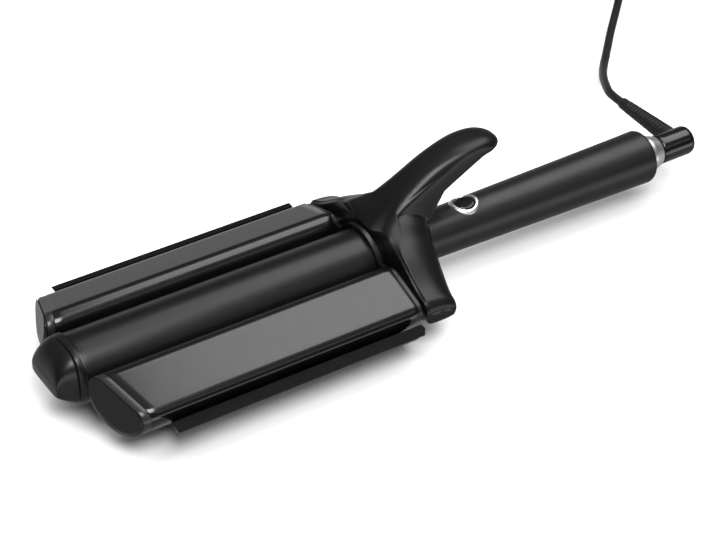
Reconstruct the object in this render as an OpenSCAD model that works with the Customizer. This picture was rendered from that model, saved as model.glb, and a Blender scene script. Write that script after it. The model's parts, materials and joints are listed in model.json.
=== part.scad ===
/* [Barrels] */
// Outside diameter of the round middle barrel and of the two half barrels
barrel_d = 32; // [28:1:36]
// Wall of the barrel tubes
barrel_wall = 1.6; // [1:0.1:2.5]
// Length of the middle barrel, from the nose seam to the hub
barrel_len = 152.5; // [140:0.5:165]
// Gap left for the hair between the two jaws when they are closed
hair_gap = 3.9; // [3:0.1:5]
// Height of the half barrels' centres above the handle's axis
half_rise = 4; // [2:0.5:6]
// Distance from a half barrel's centre to its flat top face
flat_depth = 5; // [3:0.5:7]
// Radius of the rounded edges along a half barrel's flat face
edge_r = 6.2; // [4:0.2:8]
// Outward lean of the flat top faces, in degrees
flat_lean = 18; // [10:1:24]
// Length of a half barrel from its cap seam to its rear end, on its centre line
half_len = 144; // [130:0.5:156]
// Backward sweep of the half barrels' front ends, in degrees
front_sweep = 17; // [5:1:25]
// Length of the insulating collar behind each end cap
front_collar_len = 4.5; // [3:0.5:8]
// Depth of the rounded end caps
cap_len = 3.2; // [2:0.1:4]

/* [Lower jaw] */
// Length of the lower jaw's channel plates
plate_len = 126; // [112:1:134]
// Thickness of the channel plates
plate_t = 2; // [1.5:0.1:3]
// How far the lips stand out past the channels' round outside
lip_flange = 0.8; // [0.4:0.1:2]
// Height of the lips' top edges above the handle's axis
lip_rise = 0.2; // [0:0.1:2]
// Height of the lips' outer faces
lip_h = 4; // [3:0.5:6]
// Thickness of the heat-proof cover below the channels
sole_t = 3.1; // [2.5:0.1:5]
// Half width of the flat sole
sole_half_w = 38; // [30:1:42]
// Length of the nose cap in front of the middle barrel
nose_len = 16.5; // [12:0.5:22]
// Half width of the nose cap's front edge
nose_half_w = 12; // [9:0.5:14]
// Thickness of the nose cap's front edge
nose_edge_t = 5; // [3.5:0.5:8]

/* [Hub and hinge] */
// Distance from the hinge axis to the middle barrel's rear end
hub_front = 14; // [12:0.5:18]
// Radius of the hub between the yoke's cheeks
hub_r = 12.2; // [11:0.1:13]
// Radius of the hinge pin
pin_r = 2; // [1.6:0.1:2.6]
// Length of the hinge pin
pin_len = 32; // [30:0.5:36]
// Running clearance between the pin and the bushes, on the radius
pin_clear = 0.05; // [0.02:0.01:0.1]
// Clearance between the hub and the yoke's cheeks, on each side
cheek_clear = 0.4; // [0.3:0.1:0.6]
// Clearance between the middle barrel and the yoke's arch
arch_clear = 1.3; // [1:0.1:2]
// Angle through which the upper jaw opens, in degrees
open_angle = 22; // [14:1:22]

/* [Yoke and thumb lever] */
// Half width of the thumb lever
lever_half_w = 9.6; // [8:0.2:11]
// Height of the yoke above the flat faces, beside the lever
yoke_raise = 6.5; // [4:0.5:7]

/* [Handle] */
// Distance from the hinge axis to the handle's rear end
handle_end = 143.5; // [130:0.5:160]
// Handle radius where it meets the hub
handle_r_front = 11.4; // [11:0.1:12]
// Handle radius at its rear end
handle_r_rear = 13.4; // [12:0.1:15]
// Wall of the handle tube
handle_wall = 2.2; // [1.8:0.1:3]
// Distance from the hinge axis to the power button
button_x = 36; // [32:0.5:60]
// Radius of the power button
button_r = 4.9; // [4:0.1:5.5]
// Outside radius of the bright ring round the button
bezel_r = 7.3; // [6.8:0.1:8]
// Gap round the power button
button_gap = 0.35; // [0.3:0.05:0.6]
// Length of the circuit board
board_len = 84; // [70:1:95]
// Width of the circuit board
board_w = 15; // [12:0.5:16]
// Thickness of the circuit board
board_t = 1.6; // [1:0.1:2]

/* [Cord swivel] */
// Length of the bright ring between handle and knob
ring_len = 9; // [8:0.5:14]
// Radius of the bright ring beside the handle
ring_r = 9.6; // [9:0.1:10.5]
// Radius of the cord knob
knob_r = 7.3; // [6.5:0.1:8.5]
// Length of the cord knob
knob_len = 20; // [18:0.5:26]
// Radius of the swivel's shaft
shaft_r = 4.5; // [3.5:0.1:5]
// Length of the strain relief past the knob
relief_len = 38; // [30:1:46]
// Diameter of the cord
cord_d = 4.4; // [4:0.1:5]

/* [Hidden] */
$fn = 64;
eps = 0.01;
barrel_r = barrel_d / 2;
half_y = sqrt(pow(2 * barrel_r + hair_gap, 2) - half_rise * half_rise);
channel_r = barrel_r + hair_gap;
axis_h = channel_r + plate_t + sole_t - half_rise;
half_z = axis_h + half_rise;
lip_y = half_y + channel_r + plate_t + lip_flange;
lip_z = axis_h + lip_rise;
barrel_rear = -hub_front;
barrel_front = barrel_rear - barrel_len;
half_rear = barrel_rear - 8.5;
seam_x = half_rear - half_len;
plate_rear = half_rear - 2.5;
plate_front = plate_rear - plate_len;
nose_x = barrel_front - nose_len;
cheek_y = hub_r + cheek_clear;
cheek_t = 4;
arch_r = barrel_r + arch_clear;
yoke_half_w = half_y + barrel_r;
arch_x = -7.2;
slot_top = 17.6;
collar_front = half_rear;
collar_t = 2;
front_face = -18.4;
spigot_len = 12;
base_top = 6.5;
base_half_w = 26;
front_cut = 26;
ring_end = handle_end + ring_len;
knob_front = ring_end + 0.4;
knob_end = knob_front + knob_len;
relief_x = knob_front + 13.5;
relief_base = 3;
relief_r1 = 4.5;
relief_r2 = 3;
relief_tip = knob_r - 0.4 + relief_len;
board_x = 22;
board_z = axis_h - 4.6;
spring_r = 4.6;
spring_wire = 1.2;
spring_recess = 5.6;
bush_r = 3.4;
function ease(t) = let (u = min(1, max(0, t))) u * u * (3 - 2 * u);
function mix(a, b, t) = a + (b - a) * t;
function handle_r(x) = mix(handle_r_front, handle_r_rear, (x - 8) / (handle_end - 8));

// ---------- shared shapes ----------

// A body of revolution about the handle's axis; its outline holds [x, radius] points
module about_axis(outline) {
  translate([0, 0, axis_h])
    rotate([0, 90, 0])
      rotate([0, 0, 180])
        rotate_extrude()
          polygon([for (p = outline) [p[1], p[0]]]);
}

// A round bar along X on the handle's axis
module axis_bar(x1, x2, r) {
  translate([x1, 0, axis_h])
    rotate([0, 90, 0])
      cylinder(h = x2 - x1, r = r);
}

// The half barrel's outline about its own centre, drawn inset by a wall. The edge circles
// stand 0.02 proud, so that they cross the round and the flat instead of only touching them
module half_outline(inset) {
  r = barrel_r - inset;
  f = edge_r - inset + 0.02;
  top = flat_depth - inset;
  cx = sqrt(pow(barrel_r - edge_r, 2) - pow(flat_depth - edge_r, 2));
  cy = flat_depth - edge_r;
  ty = cy * r / sqrt(cx * cx + cy * cy);
  difference() {
    circle(r = r);
    translate([-2 * r, ty])
      square([4 * r, 3 * r]);
  }
  for (s = [-1, 1])
    translate([s * cx, cy])
      circle(r = f);
  translate([-cx, ty - 1])
    square([2 * cx, top - ty + 1]);
}

// A length of half barrel on the +Y side, from x1 to x2
module half_bar(x1, x2, inset) {
  translate([x1, half_y, half_z])
    rotate([-flat_lean, 0, 0])
      rotate([90, 0, 90])
        linear_extrude(height = x2 - x1)
          half_outline(inset);
}

// Everything in front of a plane swept back by front_sweep, which crosses the
// half barrel's centre line at x
module front_of(x) {
  translate([x, half_y, half_z])
    rotate([0, 0, -front_sweep])
      translate([-80, -60, -60])
        cube([80, 120, 120]);
}

// One loop-free tube through a list of points
function unit(v) = v / norm(v);
function tangent(p, i) = unit(p[min(i + 1, len(p) - 1)] - p[max(i - 1, 0)]);
function ring_points(c, t, r, n) =
  let (side = unit(cross(t, [0, 0, 1])), up = cross(side, t))
  [for (k = [0 : n - 1]) c + r * (cos(360 * k / n) * side + sin(360 * k / n) * up)];
module tube(path, r, n) {
  m = len(path);
  pts = [for (i = [0 : m - 1]) each ring_points(path[i], tangent(path, i), r, n)];
  walls = [
    for (i = [0 : m - 2])
      for (k = [0 : n - 1])
        for (tri = [
          [i * n + k, (i + 1) * n + (k + 1) % n, (i + 1) * n + k],
          [i * n + k, i * n + (k + 1) % n, (i + 1) * n + (k + 1) % n]
        ]) tri
  ];
  ends = [
    for (k = [1 : n - 2])
      for (tri = [[0, k + 1, k], [(m - 1) * n, (m - 1) * n + k, (m - 1) * n + k + 1]]) tri
  ];
  polyhedron(points = pts, faces = concat(walls, ends), convexity = 6);
}

// A smooth closed or open curve through points, steps new points per span
function spline_at(p0, p1, p2, p3, t) =
  0.5 * (2 * p1 + (p2 - p0) * t + (2 * p0 - 5 * p1 + 4 * p2 - p3) * t * t
  + (3 * p1 - 3 * p2 + p3 - p0) * t * t * t);
function closed_curve(p, steps) =
  let (n = len(p))
  [for (i = [0 : n - 1])
    for (j = [0 : steps - 1])
      spline_at(p[(i + n - 1) % n], p[i], p[(i + 1) % n], p[(i + 2) % n], j / steps)];
function open_curve(p, steps) =
  let (n = len(p))
  concat(
    [for (i = [0 : n - 2])
      for (j = [0 : steps - 1])
        spline_at(p[max(i - 1, 0)], p[i], p[i + 1], p[min(i + 2, n - 1)], j / steps)],
    [p[n - 1]]);

// ---------- lower jaw ----------

module middle_barrel() {
  color("#202224")
    difference() {
      axis_bar(barrel_front, barrel_rear, barrel_r);
      axis_bar(barrel_front - 1, barrel_rear + 1, barrel_r - barrel_wall);
    }
}

// Section of the channels and lips, in Y and Z
module plate_section() {
  difference() {
    union() {
      for (s = [-1, 1])
        intersection() {
          difference() {
            translate([s * half_y, half_z])
              circle(r = channel_r + plate_t);
            translate([s * half_y, half_z])
              circle(r = channel_r);
          }
          translate([-100, 0])
            square([200, lip_z]);
        }
      translate([-half_y, half_z - channel_r - plate_t])
        square([2 * half_y, plate_t * 0.8]);
      for (s = [-1, 1])
        translate([s * (lip_y - 1.5) - 1.5, lip_z - lip_h])
          square([3, lip_h]);
    }
    for (s = [-1, 1])
      translate([s * half_y, half_z])
        circle(r = channel_r);
    translate([0, axis_h])
      circle(r = barrel_r + 0.1);
  }
}

// Everything in front of a plane that leans back below the lips
module before_lips(x) {
  translate([x, -80, lip_z])
    rotate([0, -front_cut, 0])
      translate([-60, 0, -80])
        cube([60, 160, 100]);
}

module lower_plate() {
  color("#26282b")
    difference() {
      translate([plate_front, 0, 0])
        rotate([90, 0, 90])
          linear_extrude(height = plate_len)
            plate_section();
      before_lips(plate_front);
    }
}

module under_cover() {
  w = sole_half_w;
  color("#151617")
    difference() {
      translate([plate_front, 0, 0])
        rotate([90, 0, 90])
          linear_extrude(height = plate_len)
            difference() {
              polygon([[-w, 0], [w, 0], [w + 9, 7], [w + 8, 9], [-w - 8, 9], [-w - 9, 7]]);
              for (s = [-1, 1])
                translate([s * half_y, half_z])
                  circle(r = channel_r + plate_t + 0.05);
              translate([-half_y, half_z - channel_r - plate_t - 0.05])
                square([2 * half_y, 20]);
            }
      before_lips(plate_front + 3);
    }
}

// Cross section of the nose, from the round barrel to the flat front edge
function nose_section(t, n) =
  let (
    x = barrel_front - nose_len * t,
    w = mix(barrel_r, nose_half_w, ease(t * 1.1) * 0.4 + t * 0.6),
    dome = sqrt(max(0, 1 - pow(t * 1.02, 2.2))),
    up = mix(nose_edge_t / 2 + 0.5, barrel_r, pow(dome, 1.1)),
    down = mix(nose_edge_t / 2, barrel_r, pow(1 - t, 0.75)),
    square_up = 2 + 3 * t
  )
  [for (k = [0 : n - 1])
    let (a = 360 * k / n, c = cos(a), s = sin(a))
    [x, w * sign(c) * pow(abs(c), 2 / square_up),
      axis_h + (s > 0 ? up : down) * sign(s) * pow(abs(s), 2 / square_up)]];

module nose_cap() {
  n = 36;
  steps = [0, 0.15, 0.3, 0.45, 0.58, 0.7, 0.8, 0.88, 0.94, 0.98];
  m = len(steps);
  pts = [for (t = steps) each nose_section(t, n)];
  walls = [
    for (i = [0 : m - 2])
      for (k = [0 : n - 1])
        for (tri = [
          [i * n + k, i * n + (k + 1) % n, (i + 1) * n + (k + 1) % n],
          [i * n + k, (i + 1) * n + (k + 1) % n, (i + 1) * n + k]
        ]) tri
  ];
  ends = [
    for (k = [1 : n - 2])
      for (tri = [[0, k + 1, k], [(m - 1) * n, (m - 1) * n + k, (m - 1) * n + k + 1]]) tri
  ];
  color("#1c1d1f") {
    polyhedron(points = pts, faces = concat(walls, ends), convexity = 4);
    axis_bar(barrel_front - 1, barrel_front + spigot_len, barrel_r - barrel_wall);
  }
}

module middle_heater() {
  x1 = barrel_front + spigot_len;
  x2 = barrel_rear - spigot_len;
  color("#d8d4c8")
    translate([x1, -9, axis_h - 2])
      cube([x2 - x1, 18, 4]);
}

module heat_sensor() {
  color("#b9862e")
    translate([(barrel_front + barrel_rear) / 2, 0, axis_h + 2])
      cylinder(h = 4, r = 3, $fn = 32);
}

// ---------- hub, hinge and handle ----------

module hub_housing() {
  web_top = axis_h - hub_r + 3;
  color("#1a1b1c")
    difference() {
      union() {
        about_axis([
          [barrel_rear - spigot_len, 0], [barrel_rear - spigot_len, barrel_r - barrel_wall],
          [barrel_rear, barrel_r - barrel_wall], [barrel_rear, barrel_r],
          [barrel_rear + 2.5, barrel_r], [barrel_rear + 4.5, hub_r],
          [8, hub_r], [8, handle_r_front - handle_wall], [20, handle_r_front - handle_wall], [20, 0]
        ]);
        difference() {
          translate([plate_rear, -base_half_w, 0])
            cube([-plate_rear + 6, 2 * base_half_w, base_top]);
          axis_bar(plate_rear - 1, barrel_rear, barrel_r + 0.05);
        }
        translate([barrel_rear, -9, 1])
          cube([hub_front + 6, 18, web_top]);
      }
      translate([0, 30, axis_h])
        rotate([90, 0, 0])
          cylinder(h = 60, r = pin_r);
      translate([0, hub_r + 1, axis_h])
        rotate([90, 0, 0])
          cylinder(h = spring_recess + 1, r = spring_r + 1.6);
      translate([barrel_rear - spigot_len - 1, 0, axis_h - 6.2])
        rotate([0, 90, 0])
          cylinder(h = spigot_len + hub_front + 22, r = 1.8, $fn = 32);
    }
}

module hinge_pin() {
  color("#b8babd")
    translate([0, pin_len / 2, axis_h])
      rotate([90, 0, 0])
        cylinder(h = pin_len, r = pin_r);
}

module torsion_spring() {
  turns = 3;
  y1 = hub_r - spring_recess + 1.1;
  pitch = 1.32;
  n = 8;
  path = [for (i = [0 : turns * n])
    [spring_r * cos(360 * i / n), y1 + pitch * i / n, axis_h + spring_r * sin(360 * i / n)]];
  m = len(path);
  k = 6;
  ring = [for (i = [0 : m - 1])
    let (a = 360 * i / n)
    [for (j = [0 : k - 1])
      let (b = 360 * j / k, r = spring_r + spring_wire / 2 * cos(b))
      [r * cos(a), path[i][1] + spring_wire / 2 * sin(b), axis_h + r * sin(a)]]];
  pts = [for (r = ring) each r];
  walls = [
    for (i = [0 : m - 2])
      for (j = [0 : k - 1])
        for (tri = [
          [i * k + j, (i + 1) * k + j, (i + 1) * k + (j + 1) % k],
          [i * k + j, (i + 1) * k + (j + 1) % k, i * k + (j + 1) % k]
        ]) tri
  ];
  ends = [
    for (j = [1 : k - 2])
      for (tri = [[0, j, j + 1], [(m - 1) * k, (m - 1) * k + j + 1, (m - 1) * k + j]]) tri
  ];
  color("#9a9da1")
    polyhedron(points = pts, faces = concat(walls, ends), convexity = 8);
}

module handle_shell() {
  color("#17181a")
    difference() {
      about_axis([
        [8, handle_r_front - handle_wall], [8, handle_r_front], [handle_end - 2, handle_r_rear],
        [handle_end - 0.9, handle_r_rear - 0.35], [handle_end - 0.2, handle_r_rear - 1.1],
        [handle_end, handle_r_rear - handle_wall]
      ]);
      translate([button_x, 0, axis_h])
        cylinder(h = 30, r = bezel_r);
    }
}

module handle_end_plate() {
  color("#141517")
    about_axis([
      [handle_end - 3, shaft_r + 0.5], [handle_end - 3, handle_r_rear - handle_wall - 0.06],
      [handle_end, handle_r_rear - handle_wall - 0.02], [handle_end, shaft_r + 0.5]
    ]);
}

module bright_ring() {
  color("#d7d9dc")
    about_axis([
      [handle_end, shaft_r + 0.5], [handle_end, ring_r - 0.5], [handle_end + 0.8, ring_r],
      [handle_end + ring_len * 0.4, ring_r - 0.4], [ring_end - 0.8, knob_r + 0.2],
      [ring_end, knob_r - 0.4], [ring_end, shaft_r + 0.5]
    ]);
}

module button_bezel() {
  r = handle_r(button_x);
  color("#d7d9dc")
    intersection() {
      translate([button_x, 0, axis_h])
        difference() {
          cylinder(h = 30, r = bezel_r);
          translate([0, 0, -1])
            cylinder(h = 32, r = button_r + button_gap);
        }
      difference() {
        axis_bar(button_x - 12, button_x + 12, r + 0.7);
        axis_bar(button_x - 13, button_x + 13, r - handle_wall);
      }
    }
}

module power_button() {
  r = handle_r(button_x);
  color("#2a2c2f") {
    intersection() {
      translate([button_x, 0, axis_h + r - 4])
        cylinder(h = 10, r = button_r);
      axis_bar(button_x - 10, button_x + 10, r + 0.4);
    }
    translate([button_x, 0, board_z + board_t + 4.5 + 0.9])
      cylinder(h = axis_h + r - 4 - board_z - board_t - 5.4, r = 2.2, $fn = 32);
  }
}

module circuit_board() {
  color("#1f5a35")
    translate([board_x, -board_w / 2, board_z])
      cube([board_len, board_w, board_t]);
}

module button_switch() {
  color("#3a3a3a") {
    translate([button_x - 3, -3, board_z + board_t])
      cube([6, 6, 3.5]);
    translate([button_x, 0, board_z + board_t + 3.5])
      cylinder(h = 1, r = 1.7, $fn = 24);
  }
}

module swivel_bearing() {
  x2 = handle_end - 3;
  color("#c9cbc8")
    about_axis([
      [board_x + board_len, 0], [board_x + board_len, handle_r_front - handle_wall - 0.3],
      [x2, handle_r_rear - handle_wall - 0.5], [x2, shaft_r + pin_clear],
      [x2 - 14, shaft_r + pin_clear], [x2 - 14, 0]
    ]);
}

module heater_wires() {
  color("#8a2f2a")
    translate([barrel_rear - spigot_len - 3, 0, axis_h - 6.2])
      rotate([0, 90, 0])
        cylinder(h = spigot_len + hub_front + 30, r = 1.6, $fn = 24);
}

// ---------- yoke and thumb lever ----------

// Side view of the middle of the yoke and of the lever, from the hinge axis
lever_line = [
  [-17.5, -7], [front_face - 1, 5], [front_face - 0.9, 15], [-16, 20.5], [-9, 27.5], [0, 35], [12, 42.2], [25, 46.8],
  [36, 48.4], [45, 48], [51.5, 44.6], [49.5, 41], [42, 39.2], [33, 37.6], [24.5, 34],
  [17.5, 27], [13.5, 18.5], [10.6, 9], [9.6, 0], [8, -7], [-4, -8]
];
// Middle line of the lever, towards which its rounded sides close
lever_core = [
  [-17.5, -7], [front_face - 1, 5], [front_face - 0.9, 15], [-16, 20.5], [-9, 27.5], [0, 35], [14, 37], [25, 41.6],
  [35, 44], [44, 44], [47, 43.4], [46, 42.8], [40, 42.4], [32, 41], [24.5, 37.6],
  [17, 29.5], [13.5, 18.5], [10.6, 9], [9.6, 0], [8, -7], [-4, -8]
];
// Half width at which each point of the lever gives way to the arms
lever_edge = [0, 0, 0, 0, 0, 0, 9.6, 9.6, 9.6, 9.6, 9.6, 9.6, 9.6, 9.6, 9.6, 10];
last_lever = len(lever_edge);

// Height of a half barrel's flat face and rounded outer edge, above the handle's axis
function flat_at(a) = half_rise + flat_depth / cos(flat_lean) - (a - half_y) * tan(flat_lean);
corner_y = half_y + sqrt(pow(barrel_r - edge_r, 2) - pow(flat_depth - edge_r, 2)) * cos(flat_lean)
  + (flat_depth - edge_r) * sin(flat_lean);
corner_z = half_rise - sqrt(pow(barrel_r - edge_r, 2) - pow(flat_depth - edge_r, 2)) * sin(flat_lean)
  + (flat_depth - edge_r) * cos(flat_lean);
function outline_top(a) =
  let (b = a - corner_y)
  b < edge_r * sin(flat_lean) ? flat_at(a) : corner_z + sqrt(max(0, edge_r * edge_r - b * b));
function outline_bottom(a) =
  half_rise - sqrt(max(0, barrel_r * barrel_r - (a - half_y) * (a - half_y)));

// Side view of the yoke's arms at a distance a from the middle
function arm_top(a) =
  outline_top(a) + yoke_raise * (1 - ease((a - 22) / 24)) + 3 * (1 - ease((a - 10) / 14));
function arm_bottom(a) = a < 22 ? mix(-7, -5, ease((a - 12) / 10)) : min(-5, outline_bottom(a));
function arm_front(a) = front_face - 0.7;
function arm_rear(a) = mix(8.2, 4.5, ease((a - 12) / 10)) - 9.5 * pow(max(0, (a - 22) / 30), 1.2);
function arm_line(a) =
  let (
    n = len(lever_line),
    xf = arm_front(a),
    xr = arm_rear(a),
    xm = (xf + xr) / 2,
    zt = arm_top(a),
    zb = min(zt - 3, a > 46 ? outline_bottom(a) : arm_bottom(a)),
    zm = (zt + zb) / 2
  )
  [for (i = [0 : n - 1])
    i == 0 ? [xf + 1.5, mix(zb, zt, 0.12)] :
    i == 1 ? [xf, zm] :
    i == 2 ? [xf, mix(zm, zt, 0.75)] :
    i == 3 ? [xf + 1.8, zt - 0.2] :
    i == 4 ? [mix(xf, xr, 0.3), zt + 0.3] :
    i <= 18 ?
      let (t = 90 * (i - 4.5) / 13.5)
      [mix(mix(xf, xr, 0.3), xr, pow(sin(t), 0.9)), mix(zm, zt, pow(cos(t), 0.7))] :
    i == 19 ? [xr - 1.5, mix(zb, zt, 0.12)] :
    [xm, zb]];

function yoke_ring(y) =
  let (
    a = abs(y),
    body = arm_line(a),
    keep = 1 - ease((a - 1.5) / 18),
    thick = sqrt(max(0.08, 1 - pow(min(1, a / lever_half_w), 3))),
    round_tip = 7 * (1 - sqrt(max(0.04, 1 - pow(min(1, a / lever_half_w), 2.4))))
  )
  [for (i = [0 : len(lever_line) - 1])
    let (
      on_lever = i >= 6 && i < last_lever,
      flat_side = on_lever ? mix(lever_core[i], lever_line[i], thick) : lever_line[i],
      back = on_lever ? round_tip * ease((flat_side[0] - 20) / 26) : 0,
      side = [flat_side[0] - back, flat_side[1]],
      wide = on_lever ? lever_half_w + lever_edge[i] - 9.6 : 0,
      out = on_lever ? 1 - ease((a - wide + 0.6) / (2.4 + 2 * (wide - lever_half_w))) : keep
    )
    mix(body[i], side, out)];

// Distances from the middle at which the yoke's rings lie; past 12 they stretch with its width
yoke_y = [0, 3, 5.2, 7, 8.2, 9, 9.8, 10.6, 11.6, 13, 15, 17.5, 20.5, 24, 28, 32.5, 37, 41, 44, 46.4, 48.2, 49.6, 50.6, 51.3, 51.7];

module yoke_shell() {
  widest = yoke_y[len(yoke_y) - 1];
  side = [for (y = yoke_y) y < 12 ? y : 12 + (y - 12) * (yoke_half_w - 12) / (widest - 12)];
  m1 = len(side);
  ys = concat([for (i = [m1 - 1 : -1 : 1]) -side[i]], side);
  rings = [for (y = ys) [for (p = closed_curve(yoke_ring(y), 2)) [p[0], y, axis_h + p[1]]]];
  n = len(rings[0]);
  m = len(rings);
  pts = [for (r = rings) each r];
  walls = [
    for (i = [0 : m - 2])
      for (k = [0 : n - 1])
        for (tri = [
          [i * n + k, (i + 1) * n + k, (i + 1) * n + (k + 1) % n],
          [i * n + k, (i + 1) * n + (k + 1) % n, i * n + (k + 1) % n]
        ]) tri
  ];
  mid1 = len(pts);
  centre1 = [for (c = [0 : 2]) mean([for (p = rings[0]) p[c]])];
  centre2 = [for (c = [0 : 2]) mean([for (p = rings[m - 1]) p[c]])];
  ends = [
    for (k = [0 : n - 1])
      for (tri = [[mid1, k, (k + 1) % n], [mid1 + 1, (m - 1) * n + (k + 1) % n, (m - 1) * n + k]]) tri
  ];
  polyhedron(points = concat(pts, [centre1, centre2]), faces = concat(walls, ends), convexity = 10);
}
function total(v, i = 0) = i < len(v) ? v[i] + total(v, i + 1) : 0;
function mean(v) = total(v) / len(v);

module yoke_lever() {
  color("#1b1c1e")
    difference() {
      union() {
        yoke_shell();
        for (s = [-1, 1])
          translate([0, s * cheek_y, axis_h])
            rotate([-90 * s, 0, 0])
              cylinder(h = cheek_t + 2, r = 7.5);
      }
      axis_bar(-40, arch_x, arch_r);
      translate([0, cheek_y, axis_h])
        rotate([90, 0, 0])
          linear_extrude(height = 2 * cheek_y) {
            translate([arch_x - 1, -axis_h - 20])
              square([40, axis_h + slot_top + 20]);
            rotate(open_angle + 1)
              translate([0, -15])
                square([40, hub_r + 15.5]);
          }
      for (s = [-1, 1])
        translate([0, s * (cheek_y - 1), axis_h])
          rotate([-90 * s, 0, 0])
            cylinder(h = cheek_t + 1, r = bush_r);
      translate([-60, -60, axis_h - 60])
        cube([60 + front_face, 120, 120]);
    }
}

module yoke_collar() {
  color("#101113") {
    for (s = [-1, 1])
      translate([collar_front + collar_t - eps, s * half_y, half_z])
        rotate([-s * flat_lean, 0, 0])
          rotate([90, 0, 90])
            linear_extrude(height = front_face - collar_front - collar_t + eps)
              intersection() {
                half_outline(3.4);
                translate([-s * 4 - 12, -20])
                  square([24, 40]);
              }
    translate([collar_front, 0, 0])
      rotate([90, 0, 90])
        linear_extrude(height = collar_t)
          difference() {
            union() {
              for (s = [-1, 1])
                translate([s * half_y, half_z])
                  rotate(-s * flat_lean)
                    half_outline(0.8);
              translate([-half_y + 8, axis_h + 2])
                square([2 * half_y - 16, 7]);
              translate([0, axis_h])
                circle(r = arch_r + 1.2);
            }
            translate([0, axis_h])
              circle(r = arch_r);
            translate([-arch_r, -20])
              square([2 * arch_r, axis_h + 20]);
          }
  }
}

module bush(s) {
  color("#a5803c")
    translate([0, s * cheek_y, axis_h])
      rotate([-90 * s, 0, 0])
        difference() {
          cylinder(h = cheek_t, r = bush_r);
          translate([0, 0, -1])
            cylinder(h = cheek_t + 2, r = pin_r + pin_clear);
        }
}
module left_bush() { bush(1); }
module right_bush() { bush(-1); }

// ---------- half barrels, on the +Y side ----------

module half_barrel() {
  color("#2a2c30")
    difference() {
      half_bar(seam_x - 15, half_rear, 0);
      half_bar(seam_x - 20, half_rear + 5, barrel_wall);
      front_of(seam_x + front_collar_len);
    }
}

module front_collar() {
  color("#1d1f21")
    difference() {
      half_bar(seam_x - 15, seam_x + 20, 0.15);
      translate([eps, 0, 0])
        front_of(seam_x);
      difference() {
        translate([-100, half_y - 40, half_z - 40])
          translate([seam_x, 0, 0])
            cube([200, 80, 80]);
        front_of(seam_x + front_collar_len);
      }
    }
}

// A thin slice of the cap, a share t of the way from the seam to its front: drawn in all
// round, cut lower under the flat face and less swept the further forward it lies
module cap_slice(t) {
  inset = 8 * (1 - sqrt(1 - pow(t, 1.25)));
  drop = 19.5 * t;
  lean = tan(front_sweep);
  x = seam_x - 0.06 - cap_len * t;
  multmatrix([[1, lean, 0, -lean * half_y], [0, 1, 0, 0], [0, 0, 1, 0], [0, 0, 0, 1]])
    translate([x, half_y, half_z])
      rotate([-flat_lean, 0, 0])
        rotate([90, 0, 90])
          linear_extrude(height = 0.05)
            difference() {
              translate([inset * 0.25, inset * 0.32])
                half_outline(inset);
              translate([-2 * barrel_r, flat_depth - drop])
                square([4 * barrel_r, 20]);
            }
}

module end_cap() {
  color("#232527")
    hull()
      for (t = [0, 0.04, 0.12, 0.25, 0.42, 0.6, 0.74])
        cap_slice(t);
}

module half_heater() {
  w = 2 * (barrel_r - edge_r) - 3;
  color("#d8d4c8")
    translate([seam_x + 22, half_y, half_z])
      rotate([-flat_lean, 0, 0])
        translate([0, -w / 2, flat_depth - barrel_wall - 2.5])
          cube([half_len - 34, w, 2.5]);
}

module left_half_barrel() { half_barrel(); }
module right_half_barrel() { mirror([0, 1, 0]) half_barrel(); }
module left_front_collar() { front_collar(); }
module right_front_collar() { mirror([0, 1, 0]) front_collar(); }
module left_end_cap() { end_cap(); }
module right_end_cap() { mirror([0, 1, 0]) end_cap(); }
module left_heater() { half_heater(); }
module right_heater() { mirror([0, 1, 0]) half_heater(); }

// ---------- cord swivel and cord ----------

module swivel_shaft() {
  x1 = handle_end - 3 - 14 + 0.4;
  color("#8f9296")
    axis_bar(x1, knob_front, shaft_r);
}

module swivel_knob() {
  color("#161719")
    difference() {
      about_axis([
        [knob_front, 0], [knob_front, knob_r - 0.6], [knob_front + 0.6, knob_r],
        [knob_end - 2.5, knob_r], [knob_end - 1.2, knob_r - 0.5], [knob_end - 0.3, knob_r - 1.5],
        [knob_end, knob_r - 3], [knob_end, 0]
      ]);
      translate([relief_x, relief_base, axis_h])
        rotate([-90, 0, 0])
          cylinder(h = 20, r = relief_r1);
    }
}

module strain_relief() {
  ribs = 11;
  y0 = knob_r + 3;
  step = (relief_tip - 6 - y0) / ribs;
  function relief_r(y) = mix(relief_r1, relief_r2, (y - y0) / (relief_tip - y0));
  color("#121314")
    translate([relief_x, 0, axis_h])
      rotate([-90, 0, 0])
        rotate_extrude($fn = 40)
          polygon(concat(
            [[0, relief_base], [relief_r1, relief_base], [relief_r1, y0]],
            [for (i = [0 : ribs - 1])
              let (y = y0 + i * step)
              each [[relief_r(y), y + step * 0.1], [relief_r(y), y + step * 0.55],
                [relief_r(y) - 0.45, y + step * 0.65], [relief_r(y) - 0.45, y + step * 0.95]]],
            [[relief_r(relief_tip - 6), relief_tip - 6], [relief_r(relief_tip), relief_tip], [0, relief_tip]]));
}

cord_z = cord_d / 2 + 0.05;
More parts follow.
